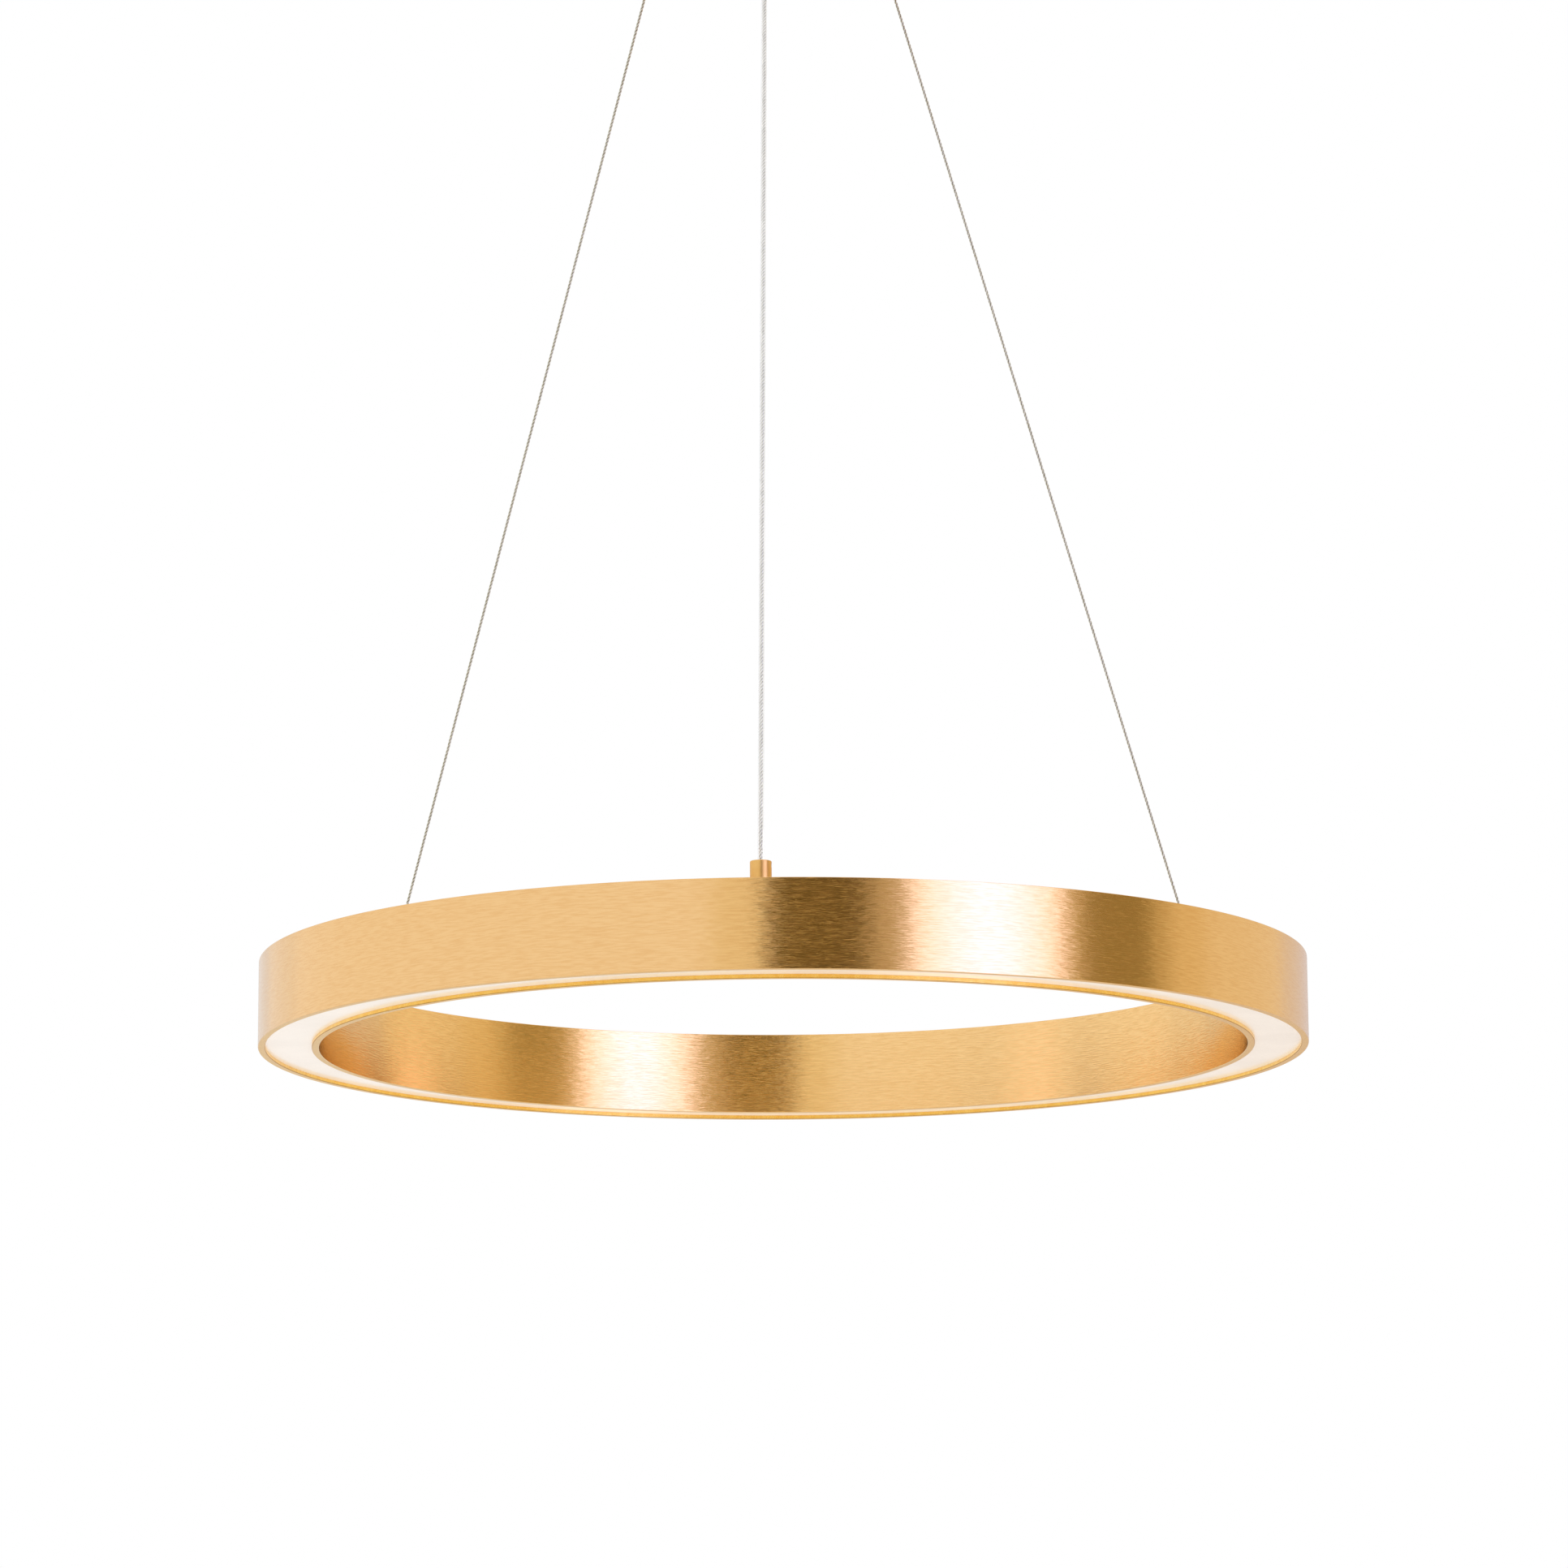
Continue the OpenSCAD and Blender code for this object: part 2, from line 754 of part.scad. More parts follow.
module cord_grip_collet() {
    top = -cord_flange - stub_l;
    color(WHITE)
        on_canopy(FRONT, grip_r, canopy_low)
            difference() {
                translate([0, 0, collet_low])
                    cylinder(d = stub_d - 1.4, h = top - collet_low);
                translate([0, 0, collet_low - cut])
                    cylinder(d = cable_d + 2 * snug, h = pivot_drop);
            }
}

module cord_grip_cap() {
    color(GOLD)
        on_canopy(FRONT, grip_r, canopy_low)
            difference() {
                translate([0, 0, -pivot_drop])
                    cylinder(d = cord_grip_d, h = pivot_drop - cord_flange - 1);
                translate([0, 0, collet_low])
                    cylinder(d = stub_d, h = pivot_drop);
                translate([0, 0, -pivot_drop - cut])
                    cylinder(d = cable_d + 2 * body_gap, h = pivot_drop);
            }
}

// Ends of the wires and of the power cable inside the canopy
module wire_tail(turn) {
    color(STEEL)
        on_canopy(turn, grip_r, pivot_z)
            cylinder(d = wire_d, h = pivot_drop + neck_l + tail_l);
}

// The tail of the power cable climbs out of the cord grip and goes round the driver to its left end
tail_top = canopy_low + neck_l;
tail_r = grip_r - 12;
tail_turns = [-17, -44, -66];

module power_cable_tail() {
    grip = [grip_r * cos(canopy_turn), grip_r * sin(canopy_turn)];
    round_driver = [for (a = tail_turns)
        [tail_r * cos(canopy_turn + a), tail_r * sin(canopy_turn + a), output_z]];
    heading = unit([round_driver[0].x - grip.x, round_driver[0].y - grip.y, 0]);
    bend = output_z - tail_top;
    up = [grip.x, grip.y, tail_top];
    case_end = -driver_left - driver_l / 2;
    color(ALUMINIUM)
        tube_along(smooth(concat([
            [grip.x, grip.y, pivot_z],
            [grip.x, grip.y, (pivot_z + tail_top) / 2],
            up - [0, 0, straight],
            up + [0, 0, 0.3 * bend],
            up + (1 - cos(45)) * bend * heading + [0, 0, 0.8 * bend],
            up + bend * heading + [0, 0, bend]],
            round_driver,
            [[case_end - 3 * straight, output_y - straight, output_z],
            [case_end - straight, output_y, output_z],
            [case_end + driver_wall, output_y, output_z]]), 4), cable_d, 8);
}

// One hanging cable: straight down from the canopy, bent upright just above its fitting on the ring
bend_steps = 8;

module hanging_cable(turn, d, bend) {
    top = [grip_r * cos(canopy_turn + turn), grip_r * sin(canopy_turn + turn), pivot_z];
    foot = [hang_shift + r_mid * cos(ring_turn + turn), r_mid * sin(ring_turn + turn), ring_top];
    heading = atan2(top.y - foot.y, top.x - foot.x);
    side = norm([top.x - foot.x, top.y - foot.y]);
    rise = top.z - foot.z;
    corner = fitting_h + bend;
    lean = atan2(side, rise - corner);
    bend_r = bend / tan(lean / 2);
    stop_top = stop_z + stop_l / 2 + snug;
    route = concat(
        [[0, 0, stop_top]],
        [for (k = [0:bend_steps])
            let (a = lean * k / bend_steps)
            [bend_r * (1 - cos(a)), 0, fitting_h + bend_r * sin(a)]],
        [[side - pivot_gap * sin(lean), 0, rise - pivot_gap * cos(lean)]]);
    translate(foot)
        rotate([0, 0, heading])
            tube_along(route, d, 8);
}

module suspension_wire(turn) {
    color(STEEL)
        hanging_cable(turn, wire_d, wire_bend);
}

module power_cable() {
    color(ALUMINIUM)
        hanging_cable(FRONT, cable_d, cable_bend);
}

// Section of a band: wall, rim lip, snap ridge and screw flange. The wall stands at x = 0 to band_t.
module band_section() {
    square([band_t, ring_h]);
    square([rim_w, rim_t]);
    translate([0, ridge_z])
        square([band_t + ridge_w, ridge_h]);
    translate([0, cover_z - flange_t])
        square([band_t + flange_w, flange_t]);
}

module cover_screw_places() {
    for (k = [0:cover_screw_count - 1]) {
        a = 360 * (k + 0.5) / cover_screw_count;
        on_ring(a, r_out - cover_screw_in, cover_z)
            children();
        on_ring(a, r_in + cover_screw_in, cover_z)
            children();
    }
}

cover_screw_l = flange_t + 1;
pilot_d = small_d - 2 * snug;

module outer_band() {
    color(GOLD)
        difference() {
            ring_axis()
                rotate_extrude($fn = 180)
                    translate([r_out, 0])
                        mirror([1, 0])
                            band_section();
            cover_screw_places()
                translate([0, 0, -flange_t - cut])
                    cylinder(d = small_d, h = flange_t + cut + 0.01, $fn = 32);
        }
}

module inner_band() {
    color(GOLD)
        difference() {
            ring_axis()
                rotate_extrude($fn = 180)
                    translate([r_in, 0])
                        band_section();
            cover_screw_places()
                translate([0, 0, -flange_t - cut])
                    cylinder(d = small_d, h = flange_t + cut + 0.01, $fn = 32);
        }
}

// Flat cover between the bands, with countersunk holes and three holes for the fittings
module top_cover() {
    color(GOLD)
        difference() {
            ring_axis()
                hoop(r_in + band_t + 0.05, r_out - band_t - 0.05, cover_z, ring_h);
            cover_screw_places() {
                translate([0, 0, -cut])
                    cylinder(d = small_d + 0.4, h = cover_t + 2 * cut, $fn = 32);
                translate([0, 0, cover_t])
                    flare(small_d + 0.4, small_head_d, small_head_h);
            }
            for (turn = [FRONT, RIGHT, LEFT])
                on_ring(turn, r_mid, cover_z - cut)
                    cylinder(d = stem_d + 2 * snug, h = cover_t + 2 * cut);
        }
}

// Countersunk cover screws with a plain slot
module top_cover_screws() {
    head_d = small_head_d - 0.2;
    color(GOLD)
        cover_screw_places()
            difference() {
                union() {
                    translate([0, 0, -cover_screw_l])
                        cylinder(d = pilot_d, h = cover_screw_l + cover_t - 0.5, $fn = 32);
                    translate([0, 0, cover_t - small_head_h])
                        cylinder(d1 = pilot_d, d2 = head_d, h = small_head_h - 0.1, $fn = 32);
                }
                translate([-head_d, -0.35, cover_t - 0.7])
                    cube([2 * head_d, 0.7, 2]);
            }
}

// Carrier plate for the strip, hung from the cover on standoffs
module standoff_places() {
    for (k = [0:standoff_count - 1])
        on_ring(360 * (k + 0.5) / standoff_count, standoff_r, carrier_z)
            children();
}

module led_carrier() {
    color(ALUMINIUM)
        difference() {
            ring_axis()
                hoop(r_mid - carrier_w / 2, r_mid + carrier_w / 2, carrier_z, carrier_z + carrier_t);
            standoff_places()
                translate([0, 0, -cut])
                    cylinder(d = small_d + 0.3, h = carrier_t + 2 * cut, $fn = 32);
        }
}

module carrier_standoffs() {
    length = cover_z - carrier_z - carrier_t;
    color(STEEL)
        standoff_places()
            translate([0, 0, carrier_t])
                difference() {
                    cylinder(d = standoff_d, h = length, $fn = 48);
                    translate([0, 0, -cut])
                        cylinder(d = small_d, h = 5 + cut, $fn = 32);
                }
}

module carrier_screws() {
    color(STEEL)
        standoff_places()
            rotate([180, 0, 0])
                pan_screw(pilot_d, carrier_t + 4, small_head_d - 0.5, small_head_h);
}

// Flexible strip under the carrier, with its chips
module led_strip() {
    color(WHITE)
        ring_axis()
            hoop(strip_r - strip_w / 2, strip_r + strip_w / 2, carrier_z - strip_t, carrier_z);
}

module led_chips() {
    color("#f4d873")
        for (k = [0:chip_count - 1])
            on_ring(360 * (k + 0.5) / chip_count, strip_r, carrier_z - strip_t - chip_h)
                translate([-chip_w / 2, -chip_l / 2, 0])
                    cube([chip_w, chip_l, chip_h]);
}

// Opal diffuser: a flat ring that rests on both rims, under the snap ridges
module diffuser() {
    color(OPAL)
        ring_axis()
            hoop(r_in + band_t + groove_gap, r_out - band_t - groove_gap, rim_t, rim_t + diffuser_t);
}

// Plug-in connector on the carrier, and the lead from the front gland to it
connector_turn = 9;
connector_l = 12;
connector_w = 9;
connector_h = 6;

module strip_connector() {
    color(WHITE)
        on_ring(connector_turn, strip_r, carrier_z + carrier_t)
            difference() {
                translate([-connector_w / 2, 0, 0])
                    cube([connector_w, connector_l, connector_h]);
                translate([0, -cut, connector_h / 2])
                    rotate([-90, 0, 0])
                        cylinder(d = cable_d + 2 * snug, h = 4 + cut);
                for (s = [-1, 1])
                    translate([s * connector_w / 4 - 0.8, connector_l - 2, connector_h - 1.5])
                        cube([1.6, 2 + cut, 1.5 + cut]);
            }
}

module ring_lead() {
    start_z = ring_h + stop_z - stop_l / 2 - snug;
    end_z = carrier_z + carrier_t + connector_h / 2;
    plug_y = 2;
    turn = connector_turn;
    plug = [strip_r * cos(turn) - plug_y * sin(turn), strip_r * sin(turn) + plug_y * cos(turn)];
    stem_end = ring_h - stem_l;
    room = stem_end - end_z;
    color(ALUMINIUM)
        translate([hang_shift, 0, ring_low])
            rotate([0, 0, ring_turn])
                tube_along(smooth([
                    [r_mid, 0, start_z],
                    [r_mid, 0, (start_z + stem_end) / 2],
                    [r_mid, 0.3, stem_end + 0.2],
                    [r_mid, 2.6, end_z + room * 0.35],
                    [r_mid, 8, end_z + room * 0.05],
                    [r_mid + 0.5, 20, end_z - 0.3],
                    [plug.x + 9 * sin(turn), plug.y - 9 * cos(turn), end_z],
                    [plug.x, plug.y, end_z]], 4), cable_d, 8);
}

// Fittings on the ring: a domed button on a hollow threaded stem, which holds a cable's crimped stop
module fitting_section() {
    square([fitting_d / 2 - fitting_round, fitting_h]);
    square([fitting_d / 2, fitting_h - fitting_round]);
    translate([fitting_d / 2 - fitting_round, fitting_h - fitting_round])
        circle(r = fitting_round);
}

module ring_fitting(turn, cord_d) {
    pocket_r = stop_d / 2 + body_gap;
    pocket_top = stop_z + stop_l / 2 + body_gap;
    color(GOLD)
        on_ring(turn, r_mid, ring_h)
            difference() {
                union() {
                    rotate_extrude()
                        fitting_section();
                    translate([0, 0, -stem_l])
                        cylinder(d = stem_d, h = stem_l + 1);
                }
                translate([0, 0, -stem_l - cut])
                    cylinder(r = pocket_r, h = stem_l + cut + pocket_top);
                cylinder(d = cord_d + 2 * body_gap, h = fitting_h + cut);
                translate([0, 0, fitting_h])
                    flare(cord_d + 2 * body_gap, cord_d + 2 * body_gap + 1.2, 1);
                children();
            }
}

grub_l = fitting_d / 2 - cable_d / 2 - body_gap - 0.4;

module grub_place() {
    translate([0, 0, stop_z + stop_l / 2 + body_gap + 1.4])
        rotate([-90, 0, 0])
            children();
}

module cable_gland() {
    ring_fitting(FRONT, cable_d)
        grub_place()
            cylinder(d = grub_d, h = fitting_d, $fn = 48);
}

// Grub screw with a hexagon socket, in the right side of the front gland
module gland_grub_screw() {
    color(STEEL)
        on_ring(FRONT, r_mid, ring_h)
            grub_place()
                translate([0, 0, cable_d / 2 + body_gap])
                    difference() {
                        cylinder(d = grub_d - 0.1, h = grub_l, $fn = 48);
                        translate([0, 0, grub_l - 1.5])
                            cylinder(d = grub_d / 2, h = 1.5 + cut, $fn = 6);
                    }
}

module wire_fitting(turn) {
    ring_fitting(turn, wire_d);
}

module crimped_stop(turn) {
    color(STEEL)
        on_ring(turn, r_mid, ring_h + stop_z - stop_l / 2)
            cylinder(d = stop_d, h = stop_l);
}

// The three locknuts under the cover
module fitting_locknuts() {
    color(STEEL)
        for (turn = [FRONT, RIGHT, LEFT])
            on_ring(turn, r_mid, cover_z - locknut_t)
                hex_nut(locknut_w, locknut_t, stem_d);
}

ceiling_bracket();
canopy_cup();
canopy_screws();
canopy_nuts();
driver_base();
driver_lid();
driver_board();
driver_transformer();
driver_capacitors();
driver_screws();
terminal_block();
terminal_screws();
earth_screw();
mains_leads();
gripper_body(LEFT);  // gripper_body_left
gripper_body(RIGHT);  // gripper_body_right
release_nipple(LEFT);  // release_nipple_left
release_nipple(RIGHT);  // release_nipple_right
gripping_balls(LEFT);  // gripping_balls_left
gripping_balls(RIGHT);  // gripping_balls_right
gripper_spring(LEFT);  // gripper_spring_left
gripper_spring(RIGHT);  // gripper_spring_right
cord_grip_body();
cord_grip_collet();
cord_grip_cap();
wire_tail(LEFT);  // wire_tail_left
wire_tail(RIGHT);  // wire_tail_right
power_cable_tail();
suspension_wire(LEFT);  // suspension_wire_left
suspension_wire(RIGHT);  // suspension_wire_right
power_cable();
outer_band();
inner_band();
top_cover();
top_cover_screws();
led_carrier();
carrier_standoffs();
carrier_screws();
led_strip();
led_chips();
diffuser();
strip_connector();
ring_lead();
cable_gland();
gland_grub_screw();
crimped_stop(FRONT);  // cable_stop
wire_fitting(LEFT);  // wire_fitting_left
wire_fitting(RIGHT);  // wire_fitting_right
crimped_stop(LEFT);  // wire_stop_left
crimped_stop(RIGHT);  // wire_stop_right
fitting_locknuts();
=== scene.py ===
"""Looks of a ring pendant light.

A brushed gold ring with an opal light strip in its underside hangs from a round ceiling canopy on two
wire ropes and, at the front, a clear-jacketed power cable. Lengths are in metres, and the origin is the
middle of the ceiling bracket, on the ceiling.
"""

import json
import logging
import math
from dataclasses import dataclass
from enum import Enum

import bmesh
import bpy
import numpy as np
from bpy.types import Material, Node, NodeSocket, NodeTree, Object
from mathutils import Matrix, Vector

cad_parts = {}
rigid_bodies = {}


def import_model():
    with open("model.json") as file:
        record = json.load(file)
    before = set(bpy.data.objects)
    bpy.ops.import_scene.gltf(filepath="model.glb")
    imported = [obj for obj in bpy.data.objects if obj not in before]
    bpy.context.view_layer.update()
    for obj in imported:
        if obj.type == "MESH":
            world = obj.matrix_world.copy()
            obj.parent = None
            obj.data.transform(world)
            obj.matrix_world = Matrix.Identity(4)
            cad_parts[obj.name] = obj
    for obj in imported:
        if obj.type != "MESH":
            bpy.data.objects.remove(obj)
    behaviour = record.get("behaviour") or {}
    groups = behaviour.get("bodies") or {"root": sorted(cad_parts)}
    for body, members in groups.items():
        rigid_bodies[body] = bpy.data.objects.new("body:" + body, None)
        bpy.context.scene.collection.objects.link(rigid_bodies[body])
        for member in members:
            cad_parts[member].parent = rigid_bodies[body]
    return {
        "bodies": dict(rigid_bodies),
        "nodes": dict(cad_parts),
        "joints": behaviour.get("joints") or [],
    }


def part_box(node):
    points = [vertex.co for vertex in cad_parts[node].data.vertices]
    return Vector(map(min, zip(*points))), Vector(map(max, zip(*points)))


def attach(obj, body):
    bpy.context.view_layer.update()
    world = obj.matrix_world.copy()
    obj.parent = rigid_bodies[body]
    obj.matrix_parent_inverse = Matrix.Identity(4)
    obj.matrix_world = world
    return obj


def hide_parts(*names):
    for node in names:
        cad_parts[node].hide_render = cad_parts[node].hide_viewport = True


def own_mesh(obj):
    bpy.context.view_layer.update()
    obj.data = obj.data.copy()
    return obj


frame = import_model()
cad_objects = {*frame["nodes"].values(), *frame["bodies"].values()}
for start_object in set(bpy.data.objects) - cad_objects:
    bpy.data.objects.remove(start_object)
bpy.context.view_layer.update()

MM = 0.001
MERGE = 0.0001 * MM
SHARP_EDGE = 35.0
SHARP_TUBE_EDGE = 70.0
NOISE_DETAIL = 3.0
# The part of a noise's values that each use of it takes
PATCH_RANGE = {"From Min": 0.35, "From Max": 0.65}
GRAIN_RANGE = {"From Min": 0.3, "From Max": 0.7}
STROKE_RANGE = {"From Min": 0.35, "From Max": 0.6}
LEAN_RANGE = {"From Min": 0.2, "From Max": 0.8}
LOG = logging.getLogger("pendant_light")

Outline = list[tuple[float, float]]
Inputs = dict[str | int, object]


class Body(Enum):
    """The bodies that carry the pieces made here."""

    CEILING = "ceiling_mount"
    FRONT_CABLE = "front_cable"
    RING = "ring"
    LEFT_WIRE = "left_wire"
    RIGHT_WIRE = "right_wire"


class Slot(Enum):
    """The material slots of the record."""

    BRUSHED_GOLD = "brushed_gold"
    OPAL = "opal_acrylic"
    ROPE = "wire_rope"
    CABLE = "jacketed_cable"
    BROWN_LEAD = "brown_lead"


def linear(code: str) -> tuple[float, float, float, float]:
    """Turns an sRGB hex colour into linear red, green, blue and an alpha of 1.

    Args:
        code: Six hex digits after a hash sign.

    Returns:
        The linear colour.
    """
    parts = [int(code[i:i + 2], 16) / 255 for i in (1, 3, 5)]
    red, green, blue = (c / 12.92 if c <= 0.04045 else ((c + 0.055) / 1.055) ** 2.4 for c in parts)
    return red, green, blue, 1.0


def feed(node: Node, inputs: Inputs) -> None:
    """Gives a node's inputs, by name or number, their values or links."""
    for key, value in inputs.items():
        if isinstance(value, NodeSocket):
            node.id_data.links.new(value, node.inputs[key])
        else:
            node.inputs[key].default_value = value


def add_node(tree: NodeTree, kind: str, inputs: Inputs | None = None, **settings: object) -> Node:
    """Adds a shader node with its settings, values and links.

    Args:
        tree: The node tree.
        kind: The node's type, without the word ShaderNode.
        inputs: A value, or a socket to link, for each input's name or number.
        **settings: The node's own properties.

    Returns:
        The new node.
    """
    node = tree.nodes.new("ShaderNode" + kind)
    for name, value in settings.items():
        setattr(node, name, value)
    feed(node, inputs or {})
    return node


@dataclass(frozen=True)
class Finish:
    """A real surface finish, and the material that shows it: clouds in its colour, and a fine grain."""

    label: str
    colour: str
    shade: str
    roughness: float = 0.5
    metallic: float = 0.0
    ior: float = 1.5
    patch: float = 14 * MM
    grain: float = 0.35 * MM
    depth: float = 0.012 * MM
    spread: float = 0.06

    def material(self) -> Material:
        """Makes the material once, and gives it back on later calls.

        Returns:
            The material.
        """
        made = bpy.data.materials.get(self.label)
        if made:
            return made
        made = bpy.data.materials.new(self.label)
        made.use_nodes = True
        tree = made.node_tree
        shader = tree.nodes["Principled BSDF"]
        feed(shader, {"Base Color": linear(self.colour), "Roughness": self.roughness,
                      "Metallic": self.metallic, "IOR": self.ior})
        self.dress(tree, shader)
        return made

    def dress(self, tree: NodeTree, shader: Node) -> None:
        """Adds the clouds to the colour, and the grain to the gloss and the relief.

        Args:
            tree: The material's nodes.
            shader: Its shader.
        """
        place = add_node(tree, "TexCoord").outputs["Object"]
        clouds = add_node(tree, "TexNoise", {"Vector": place, "Scale": 1 / self.patch,
                                             "Detail": NOISE_DETAIL})
        share = add_node(tree, "MapRange", {"Value": clouds.outputs[0], **PATCH_RANGE})
        tint = add_node(tree, "Mix", {0: share.outputs[0], 6: linear(self.shade),
                                      7: linear(self.colour)}, data_type="RGBA")
        grain = add_node(tree, "TexNoise", {"Vector": place, "Scale": 1 / self.grain})
        gloss = add_node(tree, "MapRange", {
            "Value": grain.outputs[0], **GRAIN_RANGE,
            "To Min": self.roughness - self.spread, "To Max": self.roughness + self.spread})
        relief = add_node(tree, "Bump", {"Height": grain.outputs[0], "Distance": self.depth})
        feed(shader, {"Base Color": tint.outputs[2], "Roughness": gloss.outputs[0],
                      "Normal": relief.outputs[0]})


@dataclass(frozen=True)
class BrushedMetal(Finish):
    """Anodised aluminium, brushed round its axis and dyed gold: fine strokes that follow the ring.

    The strokes stretch a reflection across them, so that a lamp shows as an upright band with ragged
    sides. Each stroke faces a little to one side, so that some stay bright inside a dark band. Real
    strokes are about 0.1 mm wide, too fine to show here, so they are drawn 0.65 mm wide.
    """

    metallic: float = 1.0
    roughness: float = 0.19
    stroke_l: float = 8 * MM
    stroke_w: float = 0.65 * MM
    depth: float = 0.12 * MM
    spread: float = 0.03
    lean: float = 0.012
    stretch: float = 0.8
    # A quarter of a full turn, which sets the stretch across the strokes
    stretch_turn: float = 0.25
    edge_tint: str = "#ffffff"
    radius: float = 300 * MM

    def dress(self, tree: NodeTree, shader: Node) -> None:
        """Adds the strokes to the colour, the gloss and the relief.

        Args:
            tree: The material's nodes.
            shader: Its shader.
        """
        place = add_node(tree, "TexCoord").outputs["Object"]
        parts = add_node(tree, "SeparateXYZ", {0: place}).outputs
        flat = add_node(tree, "CombineXYZ", {"X": parts["X"], "Y": parts["Y"]}).outputs[0]
        reach = add_node(tree, "VectorMath", {0: flat}, operation="LENGTH").outputs["Value"]
        heading = add_node(tree, "VectorMath", {0: flat}, operation="NORMALIZE").outputs[0]
        # The noise is read round the axis in stroke lengths, and over height and reach in stroke widths
        around = add_node(tree, "VectorMath", {0: heading, "Scale": self.radius / self.stroke_l},
                          operation="SCALE").outputs[0]
        over = add_node(tree, "Math", {0: reach, 1: parts["Z"]}, operation="ADD").outputs[0]
        over = add_node(tree, "Math", {0: over, 1: self.stroke_w}, operation="DIVIDE").outputs[0]
        over = add_node(tree, "CombineXYZ", {"Z": over}).outputs[0]
        spot = add_node(tree, "VectorMath", {0: around, 1: over}, operation="ADD").outputs[0]
        strokes = add_node(tree, "TexNoise", {"Vector": spot, "Scale": 1.0}).outputs
        share = add_node(tree, "MapRange", {"Value": strokes[0], **STROKE_RANGE}).outputs[0]
        tint = add_node(tree, "Mix", {0: share, 6: linear(self.shade), 7: linear(self.colour)},
                        data_type="RGBA")
        gloss = add_node(tree, "MapRange", {
            "Value": strokes[0], **GRAIN_RANGE,
            "To Min": self.roughness + self.spread, "To Max": self.roughness - self.spread})
        # Each stroke leans sideways by its own share
        chance = add_node(tree, "SeparateXYZ", {0: strokes[1]}).outputs["Y"]
        sideways = add_node(tree, "MapRange", {
            "Value": chance, **LEAN_RANGE, "To Min": -self.lean, "To Max": self.lean})
        along = add_node(tree, "VectorMath", {0: (0, 0, 1), 1: heading},
                         operation="CROSS_PRODUCT").outputs[0]
        turned = add_node(tree, "VectorTransform", {0: along}, vector_type="VECTOR",
                          convert_from="OBJECT", convert_to="WORLD").outputs[0]
        step = add_node(tree, "VectorMath", {0: turned, "Scale": sideways.outputs[0]},
                        operation="SCALE").outputs[0]
        facing = add_node(tree, "NewGeometry").outputs["Normal"]
        leaning = add_node(tree, "VectorMath", {0: facing, 1: step}, operation="ADD").outputs[0]
        leaning = add_node(tree, "VectorMath", {0: leaning}, operation="NORMALIZE").outputs[0]
        relief = add_node(tree, "Bump", {"Height": strokes[0], "Distance": self.depth,
                                         "Normal": leaning})
        tangent = add_node(tree, "Tangent", direction_type="RADIAL", axis="Z")
        feed(shader, {"Base Color": tint.outputs[2], "Roughness": gloss.outputs[0],
                      "Normal": relief.outputs[0], "Tangent": tangent.outputs[0],
                      "Specular Tint": linear(self.edge_tint), "Anisotropic": self.stretch,
                      "Anisotropic Rotation": self.stretch_turn})


@dataclass(frozen=True)
class TurnedMetal(Finish):
    """Metal turned, drawn or rolled, left bare or plated: soft reflections, slightly uneven."""

    metallic: float = 1.0
    roughness: float = 0.3
    patch: float = 4 * MM
    grain: float = 0.5 * MM
    depth: float = 0.004 * MM


@dataclass(frozen=True)
class ZincPlate(Finish):
    """Pressed steel with zinc plating: crystal patches, each with its own shade and gloss."""

    metallic: float = 1.0
    roughness: float = 0.5
    patch: float = 3 * MM
    grain: float = 0.4 * MM
    depth: float = 0.01 * MM
    spread: float = 0.07

    def dress(self, tree: NodeTree, shader: Node) -> None:
        """Adds the crystal patches and fine scratches.

        Args:
            tree: The material's nodes.
            shader: Its shader.
        """
        place = add_node(tree, "TexCoord").outputs["Object"]
        cells = add_node(tree, "TexVoronoi", {"Vector": place, "Scale": 1 / self.patch})
        tone = add_node(tree, "SeparateXYZ", {0: cells.outputs["Color"]}).outputs["X"]
        tint = add_node(tree, "Mix", {0: tone, 6: linear(self.shade), 7: linear(self.colour)},
                        data_type="RGBA")
        gloss = add_node(tree, "MapRange", {"Value": tone, "To Min": self.roughness - self.spread,
                                            "To Max": self.roughness + self.spread})
        grain = add_node(tree, "TexNoise", {"Vector": place, "Scale": 1 / self.grain,
                                            "Detail": NOISE_DETAIL})
        relief = add_node(tree, "Bump", {"Height": grain.outputs[0], "Distance": self.depth})
        feed(shader, {"Base Color": tint.outputs[2], "Roughness": gloss.outputs[0],
                      "Normal": relief.outputs[0]})


@dataclass(frozen=True)
class GlassLaminate(Finish):
    """Woven glass laminate under solder mask: a glossy skin with the weave just showing."""

    ior: float = 1.55
    roughness: float = 0.3
    depth: float = 0.01 * MM
    thread: float = 0.5 * MM

    def dress(self, tree: NodeTree, shader: Node) -> None:
        """Adds the weave as two crossed sets of waves.

        Args:
            tree: The material's nodes.
            shader: Its shader.
        """
        place = add_node(tree, "TexCoord").outputs["Object"]
        # A wave texture's band is tau / 20 of a unit wide at a scale of 1
        scale = math.tau / 20 / self.thread
        warp, weft = (add_node(tree, "TexWave", {"Vector": place, "Scale": scale},
                               bands_direction=axis).outputs[1] for axis in "XY")
        weave = add_node(tree, "Math", {0: warp, 1: weft}, operation="MULTIPLY").outputs[0]
        tint = add_node(tree, "Mix", {0: weave, 6: linear(self.shade), 7: linear(self.colour)},
                        data_type="RGBA")
        relief = add_node(tree, "Bump", {"Height": weave, "Distance": self.depth})
        feed(shader, {"Base Color": tint.outputs[2], "Normal": relief.outputs[0]})


